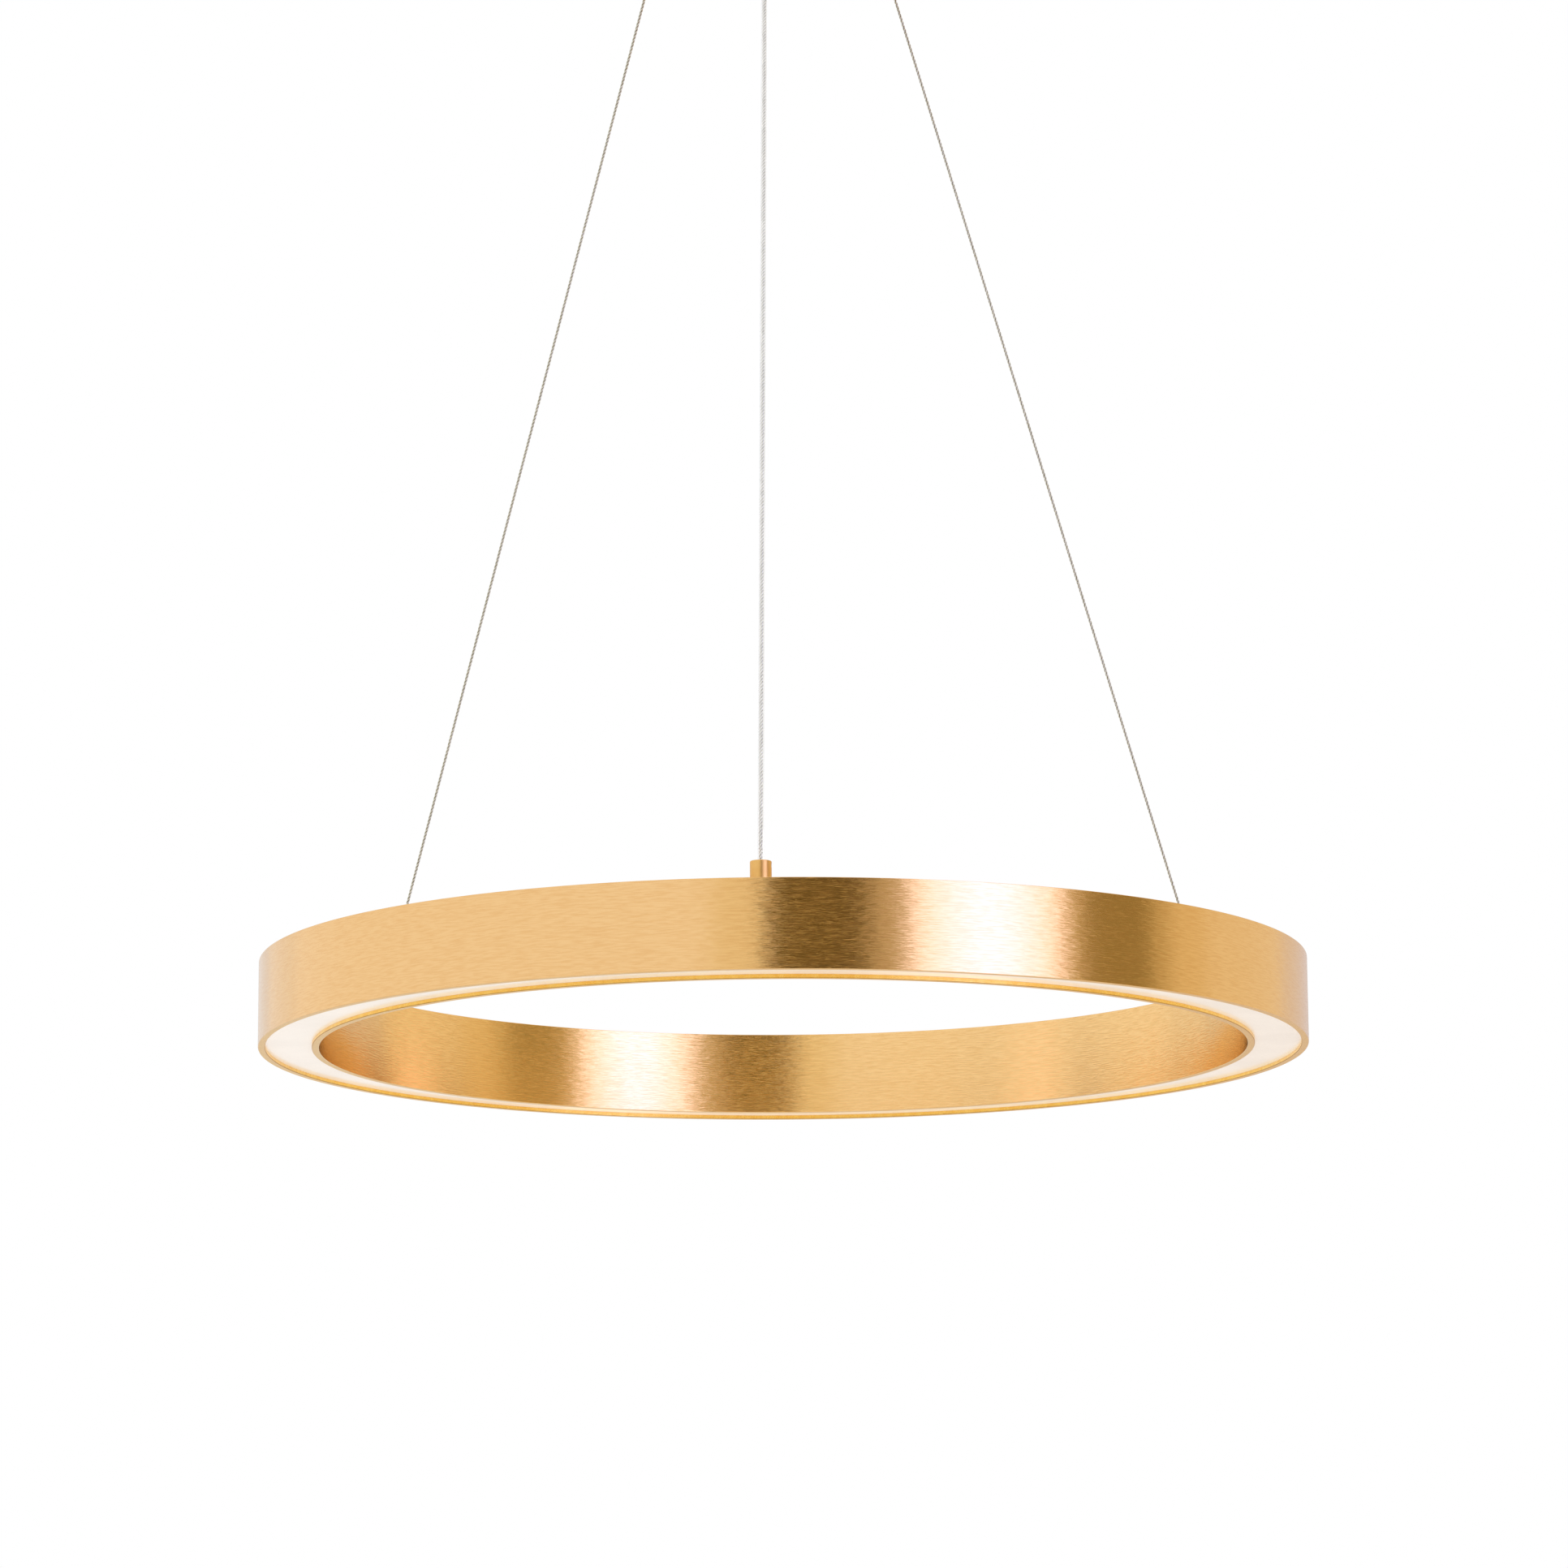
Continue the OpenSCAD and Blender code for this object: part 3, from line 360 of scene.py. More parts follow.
@dataclass(frozen=True)
class Glowing(Finish):
    """Something lit from within or from behind, which adds its own light to what it reflects."""

    glow: str = "#ffe9d4"
    strength: float = 0.25

    def dress(self, tree: NodeTree, shader: Node) -> None:
        """Adds the glow to the clouds and the grain.

        Args:
            tree: The material's nodes.
            shader: Its shader.
        """
        super().dress(tree, shader)
        feed(shader, {"Emission Color": linear(self.glow), "Emission Strength": self.strength})


@dataclass(frozen=True)
class ClearJacket(Finish):
    """Clear soft PVC: it lets the strands show, and its skin gives a thin bright line."""

    clear: float = 0.9

    def dress(self, tree: NodeTree, shader: Node) -> None:
        """Lets light through the clouds and the grain.

        Args:
            tree: The material's nodes.
            shader: Its shader.
        """
        super().dress(tree, shader)
        feed(shader, {"Transmission Weight": self.clear})


# Anodised aluminium, brushed round the ring: warm gold, lively with fine bright and dark strokes
RING_GOLD = BrushedMetal("anodised_aluminium_brushed_gold", "#f2c78c", "#ecbd80")
# The same inside the ring, painted lighter as a lit copy, so that where gold mirrors gold it does not
# turn orange
INNER_GOLD_PAINTED_LIGHTER = BrushedMetal("anodised_aluminium_brushed_gold_inside_painted_lighter", "#f8d092", "#f2c786",
                          edge_tint="#f9f8ee")
# The lip's upright edge, left glossy when brushed: a thin line of deeper, yellower gold, painted glow
# of the lit strip
LIP_GOLD_PAINTED_GLOW = TurnedMetal("anodised_aluminium_glossy_gold_edge_painted_glow", "#ffd878", "#fbcb66")
# The lip's underside, seen almost edge on: the same gold made yellower, a painted warm reflection
RIM_GOLD_PAINTED_REFLECTION = TurnedMetal("anodised_aluminium_gold_underside_painted_reflection", "#f2c468", "#ecbb5e")
# The lip's rounded arris: a fine line of darker, browner gold, which is a painted dark reflection
ARRIS_GOLD_PAINTED_DARK_REFLECTION = TurnedMetal("anodised_aluminium_gold_arris_painted_dark_reflection", "#c8923a", "#b9842f", roughness=0.4)
# Gold plating on turned brass, satin: one soft highlight down each button, with no strokes
SATIN_GOLD = TurnedMetal("turned_brass_satin_gold_plated", "#ecbd72", "#e3af64", roughness=0.4,
                         patch=12 * MM, grain=1.5 * MM, depth=0.0005 * MM)
# Gold lacquer on the sheet that closes the ring from above: a matt, even gold, with fine metal flakes
GOLD_LACQUER = TurnedMetal("rolled_aluminium_gold_lacquer", "#dcb074", "#d2a568", metallic=0.35,
                           roughness=0.6, patch=40 * MM, grain=0.3 * MM)
# Bare turned brass: greener and darker than the plating, with faint turning marks
RAW_BRASS = TurnedMetal("turned_brass_raw", "#d8b86a", "#b4934a", roughness=0.28)
# Drawn stainless wire: a clean pale grey on each strand's back
STRAND_STEEL = TurnedMetal("drawn_stainless_steel_strand", "#dcd8c3", "#d0ccb7", roughness=0.5,
                           grain=0.3 * MM)
# Painted shade: a darker copy of the same wire where two strands meet, which gets less light. It draws
# the rope's dark twisted lines
STRAND_PAINTED_SHADE = TurnedMetal("drawn_stainless_steel_painted_shade_between_strands", "#bbb8a6", "#afac9a",
                            roughness=0.4, grain=0.3 * MM)
# Tinned copper wire: nearly white strands under the clear jacket
TINNED_COPPER = TurnedMetal("tinned_copper_strand", "#fbf9f7", "#f0eeec", roughness=0.65,
                            grain=0.3 * MM)
# Painted shade: a greyer copy of the same wire between two strands, which draws grey lines that wind
# round the cable
TINNED_PAINTED_SHADE = TurnedMetal("tinned_copper_painted_shade_between_strands", "#d9d8d3", "#cdccc7", roughness=0.4,
                            grain=0.3 * MM)
# Hardened, polished steel: small hard highlights on the balls and the crimped stops
BALL_STEEL = TurnedMetal("hardened_steel_polished", "#c2c4c6", "#aeb1b4", roughness=0.14)
# Rolled aluminium as it leaves the mill: a dull, cool grey sheen
MILL_ALUMINIUM = TurnedMetal("rolled_aluminium_mill_finish", "#c9cccf", "#b4b8bc", roughness=0.35)
# Zinc on pressed steel, yellow passivated: a soft grey with a warm cast and faint crystal patches
ZINC = ZincPlate("pressed_steel_zinc_plated", "#bcb8a8", "#979384")
# Extruded opal acrylic, lit from above: an even warm glow, and a satin skin that mirrors the lips
OPAL = Glowing("extruded_opal_acrylic_lit", "#e6ded3", "#d9d1c6", roughness=0.16, ior=1.49,
               patch=60 * MM, grain=0.6 * MM, depth=0.004 * MM)
# Clear PVC over the strands: almost invisible, but for the thin bright line of its gloss. Its index is
# lower than the real 1.5, so that the jacket's sides stay pale
CLEAR_PVC = ClearJacket("extruded_pvc_clear", "#fefefe", "#fbfbfb", roughness=0.05, ior=1.38,
                        grain=2 * MM, depth=0.02 * MM, spread=0.02)
# Moulded polycarbonate: a dry off-white with a fine spark-eroded texture
WHITE_CASE = Finish("moulded_polycarbonate_white", "#e6e4dd", "#d8d6cf", roughness=0.48, ior=1.58)
# Natural nylon: a creamier, slightly glossy white
NYLON = Finish("moulded_nylon_natural", "#dcd8cb", "#cbc6b7", roughness=0.4, ior=1.53)
# Shrunk PVC sleeve: a smooth near-black with soft, wide highlights
BLACK_SLEEVE = Finish("shrunk_pvc_sleeve_black", "#26272a", "#1c1d20", roughness=0.3, ior=1.53)
# Extruded brown PVC: the plain brown of a live lead, with a soft gloss along it
BROWN_PVC = Finish("extruded_pvc_brown", "#6d4328", "#5b3620", roughness=0.35, ior=1.53)
# Solder mask on glass laminate: bottle green and glossy, with the weave just showing
GREEN_BOARD = GlassLaminate("glass_laminate_green_mask", "#2f6b45", "#285a3a")
# White mask on the flexible board: it throws the chips' light back
WHITE_BOARD = GlassLaminate("flexible_board_white_mask", "#e9e9e4", "#dadad4")
# Silicone with phosphor on each chip, lit: a strong warm yellow
PHOSPHOR = Glowing("moulded_phosphor_silicone_lit", "#f4d873", "#efce62", roughness=0.4, grain=0.2 * MM,
                   glow="#ffdfa8", strength=2.0)


def add_mesh(name: str, points: np.ndarray, faces: list[tuple[int, ...]], centre: Vector | None = None,
             sharp: float = SHARP_EDGE) -> Object:
    """Makes a mesh object with outward normals, smooth but for edges sharper than an angle.

    Args:
        name: The piece's name.
        points: One row of three coordinates for each corner, about the centre.
        faces: Corner numbers of each face.
        centre: Where the object's own origin lies.
        sharp: The angle, in degrees.

    Returns:
        The object.
    """
    mesh = bpy.data.meshes.new(name)
    mesh.from_pydata(points.tolist(), [], faces)
    shell = bmesh.new()
    shell.from_mesh(mesh)
    bmesh.ops.remove_doubles(shell, verts=shell.verts, dist=MERGE)
    bmesh.ops.recalc_face_normals(shell, faces=shell.faces)
    shell.to_mesh(mesh)
    shell.free()
    mesh.shade_smooth()
    mesh.set_sharp_from_angle(angle=math.radians(sharp))
    made = bpy.data.objects.new(name, mesh)
    made.location = centre or Vector()
    bpy.context.scene.collection.objects.link(made)
    return made


def rounded(outline: Outline, radii: list[float], steps: int = 4) -> Outline:
    """Rounds the corners of a closed outline with arcs.

    Args:
        outline: The corners, in order.
        radii: One radius for each corner, 0 to keep it.
        steps: Straight pieces in each arc.

    Returns:
        The new outline.
    """
    made: Outline = []
    count = len(outline)
    for i, radius in enumerate(radii):
        corner = Vector(outline[i])
        if not radius:
            made.append(tuple(corner))
            continue
        back = (Vector(outline[i - 1]) - corner).normalized()
        ahead = (Vector(outline[(i + 1) % count]) - corner).normalized()
        half = back.angle(ahead) / 2
        start = back * radius / math.tan(half)
        end = ahead * radius / math.tan(half)
        middle = (back + ahead).normalized() * radius / math.sin(half)
        first, last = start - middle, end - middle
        sweep = first.angle(last)
        for k in range(steps + 1):
            share = k / steps
            spoke = first * math.sin((1 - share) * sweep) + last * math.sin(share * sweep)
            made.append(tuple(corner + middle + spoke / math.sin(sweep)))
    return made


def revolve(name: str, outline: Outline, steps: int, centre: Vector) -> Object:
    """Turns a closed outline of radius and height round an upright axis.

    Args:
        name: The piece's name.
        outline: Radius and height of each corner.
        steps: Divisions round the axis.
        centre: The axis, and the height that the outline's heights are measured from.

    Returns:
        The object.
    """
    rim = np.array(outline)
    angles = np.arange(steps) * math.tau / steps
    points = [np.stack([rim[:, 0] * math.cos(a), rim[:, 0] * math.sin(a), rim[:, 1]], 1)
              for a in angles]
    size = len(rim)
    faces = []
    for i in range(steps):
        low, high = i * size, (i + 1) % steps * size
        faces += [(low + k, high + k, high + (k + 1) % size, low + (k + 1) % size) for k in range(size)]
    made = add_mesh(name, np.concatenate(points), faces, centre)
    # The large faces keep their own direction beside the small rounded edges
    made.modifiers.new("flat_faces", "WEIGHTED_NORMAL").keep_sharp = True
    return made


def smooth(route: list[Vector], steps: int = 8) -> list[Vector]:
    """Draws a smooth curve through the points of a route.

    Args:
        route: The points.
        steps: Straight pieces between two points.

    Returns:
        The curve's points.
    """
    ends = [route[0], *route, route[-1]]
    made = []
    for a, b, c, d in zip(ends, ends[1:], ends[2:], ends[3:]):
        for k in range(steps):
            t = k / steps
            made.append(0.5 * (2 * b + (c - a) * t + (2 * a - 5 * b + 4 * c - d) * t ** 2
                               + (3 * b - a - 3 * c + d) * t ** 3))
    return made + [route[-1]]


def distances(route: np.ndarray) -> np.ndarray:
    """Gives how far along a route each of its points lies."""
    return np.concatenate([[0], np.cumsum(np.linalg.norm(np.diff(route, axis=0), axis=1))])


def evenly(route: list[Vector], step: float) -> np.ndarray:
    """Places points evenly along a route.

    Args:
        route: The route's corners.
        step: About how far apart the points are.

    Returns:
        The points, one to a row.
    """
    corners = np.array(route)
    along = distances(corners)
    places = np.linspace(0, along[-1], max(2, round(along[-1] / step) + 1))
    return np.stack([np.interp(places, along, corners[:, k]) for k in range(3)], 1)


def sweep_tube(name: str, route: np.ndarray, section: np.ndarray, lay: float = 0.0) -> Object:
    """Sweeps a round or lobed section along a route, and turns it as it goes.

    Args:
        name: The piece's name.
        route: Points of the route.
        section: Two coordinates for each corner of the section, about the route.
        lay: Length of one full turn, right-handed; 0 keeps the section straight.

    Returns:
        The object.
    """
    ahead = np.gradient(route, axis=0)
    ahead /= np.linalg.norm(ahead, axis=1)[:, None]
    side = np.cross(ahead[0], [0.0, 1.0, 0.0])
    size = len(section)
    points = []
    for place, way, done in zip(route, ahead, distances(route)):
        side = side - way * (side @ way)
        side /= np.linalg.norm(side)
        other = np.cross(way, side)
        turn = math.tau * done / lay if lay else 0.0
        c, s = math.cos(turn), math.sin(turn)
        x, y = section[:, 0] * c - section[:, 1] * s, section[:, 0] * s + section[:, 1] * c
        points.append(place + x[:, None] * side + y[:, None] * other)
    last = (len(route) - 1) * size
    faces = [(i + k, i + (k + 1) % size, i + size + (k + 1) % size, i + size + k)
             for i in range(0, last, size) for k in range(size)]
    faces += [tuple(range(size)), tuple(range(last, last + size))]
    return add_mesh(name, np.concatenate(points), faces, sharp=SHARP_TUBE_EDGE)


def circle_section(diameter: float, sides: int) -> np.ndarray:
    """Gives the corners of a round section."""
    a = np.arange(sides) * math.tau / sides
    return diameter / 2 * np.stack([np.cos(a), np.sin(a)], 1)


def strand_section(diameter: float, count: int, per_strand: int) -> np.ndarray:
    """Gives the outer line of equal strands that touch each other in a ring.

    Args:
        diameter: Over the strands.
        count: Number of strands.
        per_strand: Corners on each strand, from the back of one to the back of the next.

    Returns:
        The corners, one to a row.
    """
    lobe = math.tau / count
    strand_r = diameter / 2 / (1 + 1 / math.sin(lobe / 2))
    ring_r = diameter / 2 - strand_r
    made = []
    for k in range(count * per_strand):
        a = math.tau * k / (count * per_strand)
        off = (a + lobe / 2) % lobe - lobe / 2
        inside = max(0.0, strand_r ** 2 - (ring_r * math.sin(off)) ** 2)
        reach = ring_r * math.cos(off) + math.sqrt(inside)
        made.append((reach * math.cos(a), reach * math.sin(a)))
    return np.array(made)


@dataclass(frozen=True)
class Lay:
    """How the strands of a rope or cable lie: their number, the diameter over them, a turn's length."""

    count: int
    diameter: float
    length: float
    crest: Finish
    shade_between_strands: Finish
    per_strand: int = 8
    rings: int = 20

    def build(self, name: str, route: list[Vector], body: Body, slot: Slot, *nodes: str) -> Object:
        """Lays the strands along a route, and paints shade on the lines where they meet.

        Args:
            name: The piece's name.
            route: The route's corners.
            body: The body that carries it.
            slot: The record's slot for its finish.
            *nodes: Names of the solids that it stands for.

        Returns:
            The object.
        """
        section = strand_section(self.diameter, self.count, self.per_strand)
        made = sweep_tube(name, evenly(route, self.length / self.rings), section, self.length)
        fit(made, self.crest, body, slot, *nodes)
        made.data.materials.append(self.shade_between_strands.material())
        # Each strand's faces run from its back to the next one's: the middle half, where strands meet,
        # gets the painted shade. The last two faces close the ends
        middle = (self.per_strand - 1) / 2
        for face in made.data.polygons[:-2]:
            if abs(face.index % self.per_strand - middle) < self.per_strand / 4:
                face.material_index = 1
        return made


def fit(piece: Object, finish: Finish, body: Body, slot: Slot, *nodes: str) -> Object:
    """Dresses a piece, sets it on its body and reports it.

    Args:
        piece: The piece.
        finish: Its finish.
        body: The body that carries it.
        slot: The record's slot for its finish; not used.
        *nodes: Names of the solids that it stands for.

    Returns:
        The piece.
    """
    piece.data.materials.clear()
    piece.data.materials.append(finish.material())
    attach(piece, body.value)
    if nodes:
        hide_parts(*nodes)
    LOG.info("made %s: %d faces, %s", piece.name, len(piece.data.polygons), finish.label)
    return piece


def dress(finish: Finish, *nodes: str) -> None:
    """Gives solids that keep their own shape a finish.

    Args:
        finish: The finish.
        *nodes: Names of the solids.
    """
    for name in nodes:
        solid = frame["nodes"][name]
        solid.data.materials.clear()
        solid.data.materials.append(finish.material())
        LOG.info("dressed %s: %s", name, finish.label)


def middle_of(node: str) -> Vector:
    """Gives the middle of a solid's box."""
    low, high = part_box(node)
    return (low + high) / 2


def pivot_of(joint: str) -> Vector:
    """Gives the place of a hinge."""
    return Vector(next(j["pos_m"] for j in frame["joints"] if j["name"] == joint))


@dataclass(frozen=True)
class Lamp:
    """A large soft lamp that looks at the ring: its place, the length of its side, and its watts."""

    name: str
    place: tuple[float, float, float]
    size: float
    power: float


@dataclass(frozen=True)
class Card:
    """A card that bright metal mirrors: its edges, in degrees to the right of the camera, and colours.

    It may fade to another colour at its sides, as a lamp box does, and at its top and bottom.
    """

    name: str
    start: float
    end: float
    colour: str
    level: float = 1.0
    sides: str = ""
    ends: str = ""


@dataclass
class Studio:
    """Camera, soft light, floor and the cards that a photographer stands round bright metal."""

    ring: Vector
    distance: float = 3.17048
    below: float = 0.45747
    yaw: float = 0.0217
    pitch: float = 10.951
    roll: float = -0.324
    lens: float = 128.16
    sensor: float = 36.0
    soft_level: float = 0.7
    white_level: float = 1.0
    floor_z: float = -2.4
    floor_width: float = 17.0
    floor_sides: int = 96
    floor_colour: str = "#f2f2f0"
    floor_roughness: float = 0.9
    lamps: tuple[Lamp, ...] = (
        Lamp("soft_lamp_left", (-2.2, -2.6, 0.9), 2.4, 60.0),
        Lamp("soft_lamp_right", (2.6, -1.4, 0.6), 2.0, 30.0))
    card_steps: int = 24
    card_reach: float = 2.0
    card_low: float = -2.3
    card_high: float = 2.0
    card_middle: float = -0.36
    side_fade: float = 0.15
    end_fade: tuple[float, float] = (0.3, 0.65)
    cards: tuple[Card, ...] = (
        Card("card_warm_left", -14.0, -3.2, "#f4efdc"),
        Card("card_dark_front", -3.2, 17.0, "#4a3a08", ends="#eedcaa"),
        Card("card_half_front", 17.0, 25.2, "#c3b698"),
        Card("card_bright", 25.0, 57.9, "#b4b4ff", 4.2, sides="#9f9faf"),
        Card("card_half_right", 57.4, 62.5, "#cebe98"),
        Card("card_dark_right", 62.5, 80.0, "#948352", ends="#eedcaa"),
        Card("card_half_far", 80.0, 86.0, "#cebe93"),
        Card("card_right", 86.0, 97.0, "#eadbb6"),
        Card("card_far_right", 97.0, 130.0, "#f2e8d0"),
        Card("card_right_back", 130.0, 180.0, "#ded7d8", sides="#e9e1d8"),
        Card("card_left_back", 180.0, 217.0, "#e0e3f0", sides="#eaebee"),
        Card("card_left", 217.0, 236.0, "#f7f7f7"))

    def build(self) -> None:
        """Sets up everything round the light."""
        bpy.context.scene.view_settings.view_transform = "Standard"
        self.camera()
        self.world()
        self.floor()
        for lamp in self.lamps:
            self.light(lamp)
        for card in self.cards:
            self.stand(card)

    def camera(self) -> None:
        """Places the camera, by its distance from the ring and its aim in degrees."""
        data = bpy.data.cameras.new("camera")
        data.lens = self.lens
        data.sensor_width = self.sensor
        yaw, pitch, roll = (math.radians(a) for a in (self.yaw, self.pitch, self.roll))
        ahead = Vector((math.sin(yaw) * math.cos(pitch), math.cos(yaw) * math.cos(pitch),
                        math.sin(pitch)))
        level = ahead.cross(Vector((0, 0, 1))).normalized()
        upright = level.cross(ahead)
        right = level * math.cos(roll) + upright * math.sin(roll)
        up = upright * math.cos(roll) - level * math.sin(roll)
        turn = Matrix((right, up, -ahead)).transposed()
        place = self.ring - Vector((0, self.distance, self.below))
        camera = bpy.data.objects.new("camera", data)
        camera.matrix_world = Matrix.Translation(place) @ turn.to_4x4()
        bpy.context.scene.collection.objects.link(camera)
        bpy.context.scene.camera = camera

    def world(self) -> None:
        """Makes a white surrounding for the eye, metal and glass, and a softer one for matt paint."""
        world = bpy.data.worlds.new("studio")
        world.use_nodes = True
        bpy.context.scene.world = world
        tree = world.node_tree
        tree.nodes.clear()
        path = add_node(tree, "LightPath").outputs
        seen = path["Is Camera Ray"]
        for ray in ("Is Glossy Ray", "Is Transmission Ray"):
            seen = add_node(tree, "Math", {0: seen, 1: path[ray]}, operation="MAXIMUM").outputs[0]
        soft, white = (add_node(tree, "Background", {"Color": linear("#ffffff"), "Strength": level})
                       for level in (self.soft_level, self.white_level))
        both = add_node(tree, "MixShader", {0: seen, 1: soft.outputs[0], 2: white.outputs[0]})
        add_node(tree, "OutputWorld", {"Surface": both.outputs[0]})

    def floor(self) -> None:
        """Lays a pale floor far below, which shows from above only and keeps the shadow."""
        rim = circle_section(self.floor_width, self.floor_sides)
        corners = np.column_stack([rim, np.zeros(len(rim))])
        floor = add_mesh("floor", corners, [tuple(range(len(rim)))], Vector((0, 0, self.floor_z)))
        paint = bpy.data.materials.new("matt_painted_floor")
        paint.use_nodes = True
        tree = paint.node_tree
        shader = tree.nodes["Principled BSDF"]
        feed(shader, {"Base Color": linear(self.floor_colour), "Roughness": self.floor_roughness})
        back = add_node(tree, "NewGeometry").outputs["Backfacing"]
        clear = add_node(tree, "BsdfTransparent").outputs[0]
        both = add_node(tree, "MixShader", {0: back, 1: shader.outputs[0], 2: clear}).outputs[0]
        feed(tree.nodes["Material Output"], {"Surface": both})
        floor.data.materials.append(paint)

    def light(self, lamp: Lamp) -> None:
        """Hangs a lamp, and turns it to the ring.

        Args:
            lamp: The lamp.
        """
        data = bpy.data.lights.new(lamp.name, "AREA")
        data.size = lamp.size
        data.energy = lamp.power
        made = bpy.data.objects.new(lamp.name, data)
        made.location = lamp.place
        made.rotation_euler = (self.ring - Vector(lamp.place)).to_track_quat("-Z", "Y").to_euler()
        made.visible_camera = False
        made.visible_glossy = False
        bpy.context.scene.collection.objects.link(made)

    def stand(self, card: Card) -> None:
        """Stands a curved card round the light, which only bright metal and gloss show.

        Args:
            card: The card.
        """
        across = np.radians(np.linspace(card.start, card.end, self.card_steps + 1))
        side, back = self.card_reach * np.sin(across), -self.card_reach * np.cos(across)
        points = np.array([(self.ring.x + x, y, z) for z in (self.card_low, self.card_high)
                           for x, y in zip(side, back)])
        above = self.card_steps + 1
        faces = [(k, k + 1, above + k + 1, above + k) for k in range(self.card_steps)]
        made = add_mesh(card.name, points, faces)
        paint = bpy.data.materials.new(card.name)
        paint.use_nodes = True
        tree = paint.node_tree
        tree.nodes.clear()
        place = add_node(tree, "TexCoord").outputs["Object"]
        parts = add_node(tree, "SeparateXYZ", {0: place}).outputs
        ahead = add_node(tree, "Math", {0: parts["Y"], 1: -1.0}, operation="MULTIPLY").outputs[0]
        turn = add_node(tree, "Math", {0: parts["X"], 1: ahead}, operation="ARCTAN2").outputs[0]
        middle = math.radians(card.start + card.end) / 2
        half = math.radians(card.end - card.start) / 2
        # What each fade follows, its middle, how far from there it starts and ends, and its colour
        fades = ((turn, middle, self.side_fade * half, half, card.sides),
                 (parts["Z"], self.card_middle, *self.end_fade, card.ends))
        colour = linear(card.colour)
        for way, centre, near, far, second in fades:
            if not second:
                continue
            off = add_node(tree, "Math", {0: way, 1: centre}, operation="SUBTRACT").outputs[0]
            off = add_node(tree, "Math", {0: off}, operation="ABSOLUTE").outputs[0]
            off = add_node(tree, "MapRange", {"Value": off, "From Min": near, "From Max": far})
            colour = add_node(tree, "Mix", {0: off.outputs[0], 6: colour, 7: linear(second)},
                              data_type="RGBA").outputs[2]
        glow = add_node(tree, "Emission", {"Color": colour, "Strength": card.level}).outputs[0]
        add_node(tree, "OutputMaterial", {"Surface": glow})
        made.data.materials.append(paint)
        for ray in ("camera", "diffuse", "transmission", "shadow", "volume_scatter"):
            setattr(made, "visible_" + ray, False)


@dataclass(frozen=True)
class WireRope:
    """Stainless wire rope of three strands."""

    diameter: float = 1.6 * MM
    lay: float = 7.2 * MM
    strands: int = 3

    def build(self, name: str, route: list[Vector], body: Body, node: str) -> Object:
        """Lays the rope along a route.

        Args:
            name: The piece's name.
            route: The route's corners.
            body: The body that carries it.
            node: The solid that it stands for.

        Returns:
            The rope.
        """
        lay = Lay(self.strands, self.diameter, self.lay, STRAND_STEEL, STRAND_PAINTED_SHADE)
        return lay.build(name, route, body, Slot.ROPE, node)


@dataclass(frozen=True)
class PowerCable:
    """Power cable: tinned cores, laid together, in a clear jacket that makes them look thicker."""

    diameter: float = 3.2 * MM
    core_d: float = 1.57 * MM
    core_lay: float = 6.6 * MM
    strands: int = 3
    jacket_sides: int = 24

    def build(self, name: str, route: list[Vector], body: Body, node: str) -> tuple[Object, Object]:
        """Lays the cable along a route.

        Args:
            name: The start of its pieces' names.
            route: The route's corners.
            body: The body that carries it.
            node: The solid that it stands for.

        Returns:
            The jacket, then the strands.
        """
        lay = Lay(self.strands, self.core_d, self.core_lay, TINNED_COPPER, TINNED_PAINTED_SHADE)
        core = lay.build(name + "_strands", route, body, Slot.CABLE)
        jacket = sweep_tube(name + "_jacket", evenly(route, self.diameter),
                            circle_section(self.diameter, self.jacket_sides))
        fit(jacket, CLEAR_PVC, body, Slot.CABLE, node)
        return jacket, core


@dataclass
class HangingCables:
    """Two wire ropes and the clear-jacketed power cable, from the canopy down into their fittings."""

    wire: WireRope = WireRope()
    cable: PowerCable = PowerCable()
    fitting_h: float = 11.5 * MM
    stop_half: float = 2.5 * MM
    snug: float = 0.1 * MM
    pivot_gap: float = 0.8 * MM
    bend_steps: int = 8
    wire_bend: float = 3.2 * MM
    cable_bend: float = 9.6 * MM
    travel: float = 0.3

    def route(self, stop: str, joint: str, bend: float) -> list[Vector]:
        """Repeats a hanging cable's route: straight down from its pivot, then upright into its fitting.

        Args:
            stop: The solid of its crimped stop.
            joint: The hinge at its upper end.
            bend: Length over which it bends above its fitting.

        Returns:
            The route's corners, from the top down.
        """
        top, crimp = pivot_of(joint), middle_of(stop)
        foot = Vector((crimp.x, crimp.y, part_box("outer_band")[1].z))
        across = Vector((top.x - foot.x, top.y - foot.y, 0))
        side, heading = across.length, across.normalized()
        rise = top.z - foot.z
        lean = math.atan2(side, rise - self.fitting_h - bend)
        bend_r = bend / math.tan(lean / 2)
        upright = Vector((0, 0, 1))
        points = [foot + upright * (crimp.z - foot.z + self.stop_half + self.snug)]
        for k in range(self.bend_steps + 1):
            a = lean * k / self.bend_steps
            points.append(foot + heading * bend_r * (1 - math.cos(a))
                          + upright * (self.fitting_h + bend_r * math.sin(a)))
        points.append(top - (heading * math.sin(lean) + upright * math.cos(lean)) * self.pivot_gap)
        return points[::-1]

    def fold_up(self, piece: Object) -> None:
        """Gives a cable its own copy of its mesh.

        Args:
            piece: The piece.
        """
        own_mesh(piece)

    def build(self) -> None:
        """Makes the three cables."""
        corners = self.route("cable_stop", "cable_swing", self.cable_bend)
        jacket, core = self.cable.build("power_cable", corners, Body.FRONT_CABLE, "power_cable")
        self.fold_up(core)
        self.fold_up(jacket)
        for side, body in (("left", Body.LEFT_WIRE), ("right", Body.RIGHT_WIRE)):
            node = f"suspension_wire_{side}"
            corners = self.route(f"wire_stop_{side}", f"{side}_wire_swing", self.wire_bend)
            wire = self.wire.build(f"{side}_wire_rope", corners, body, node)
            self.fold_up(wire)


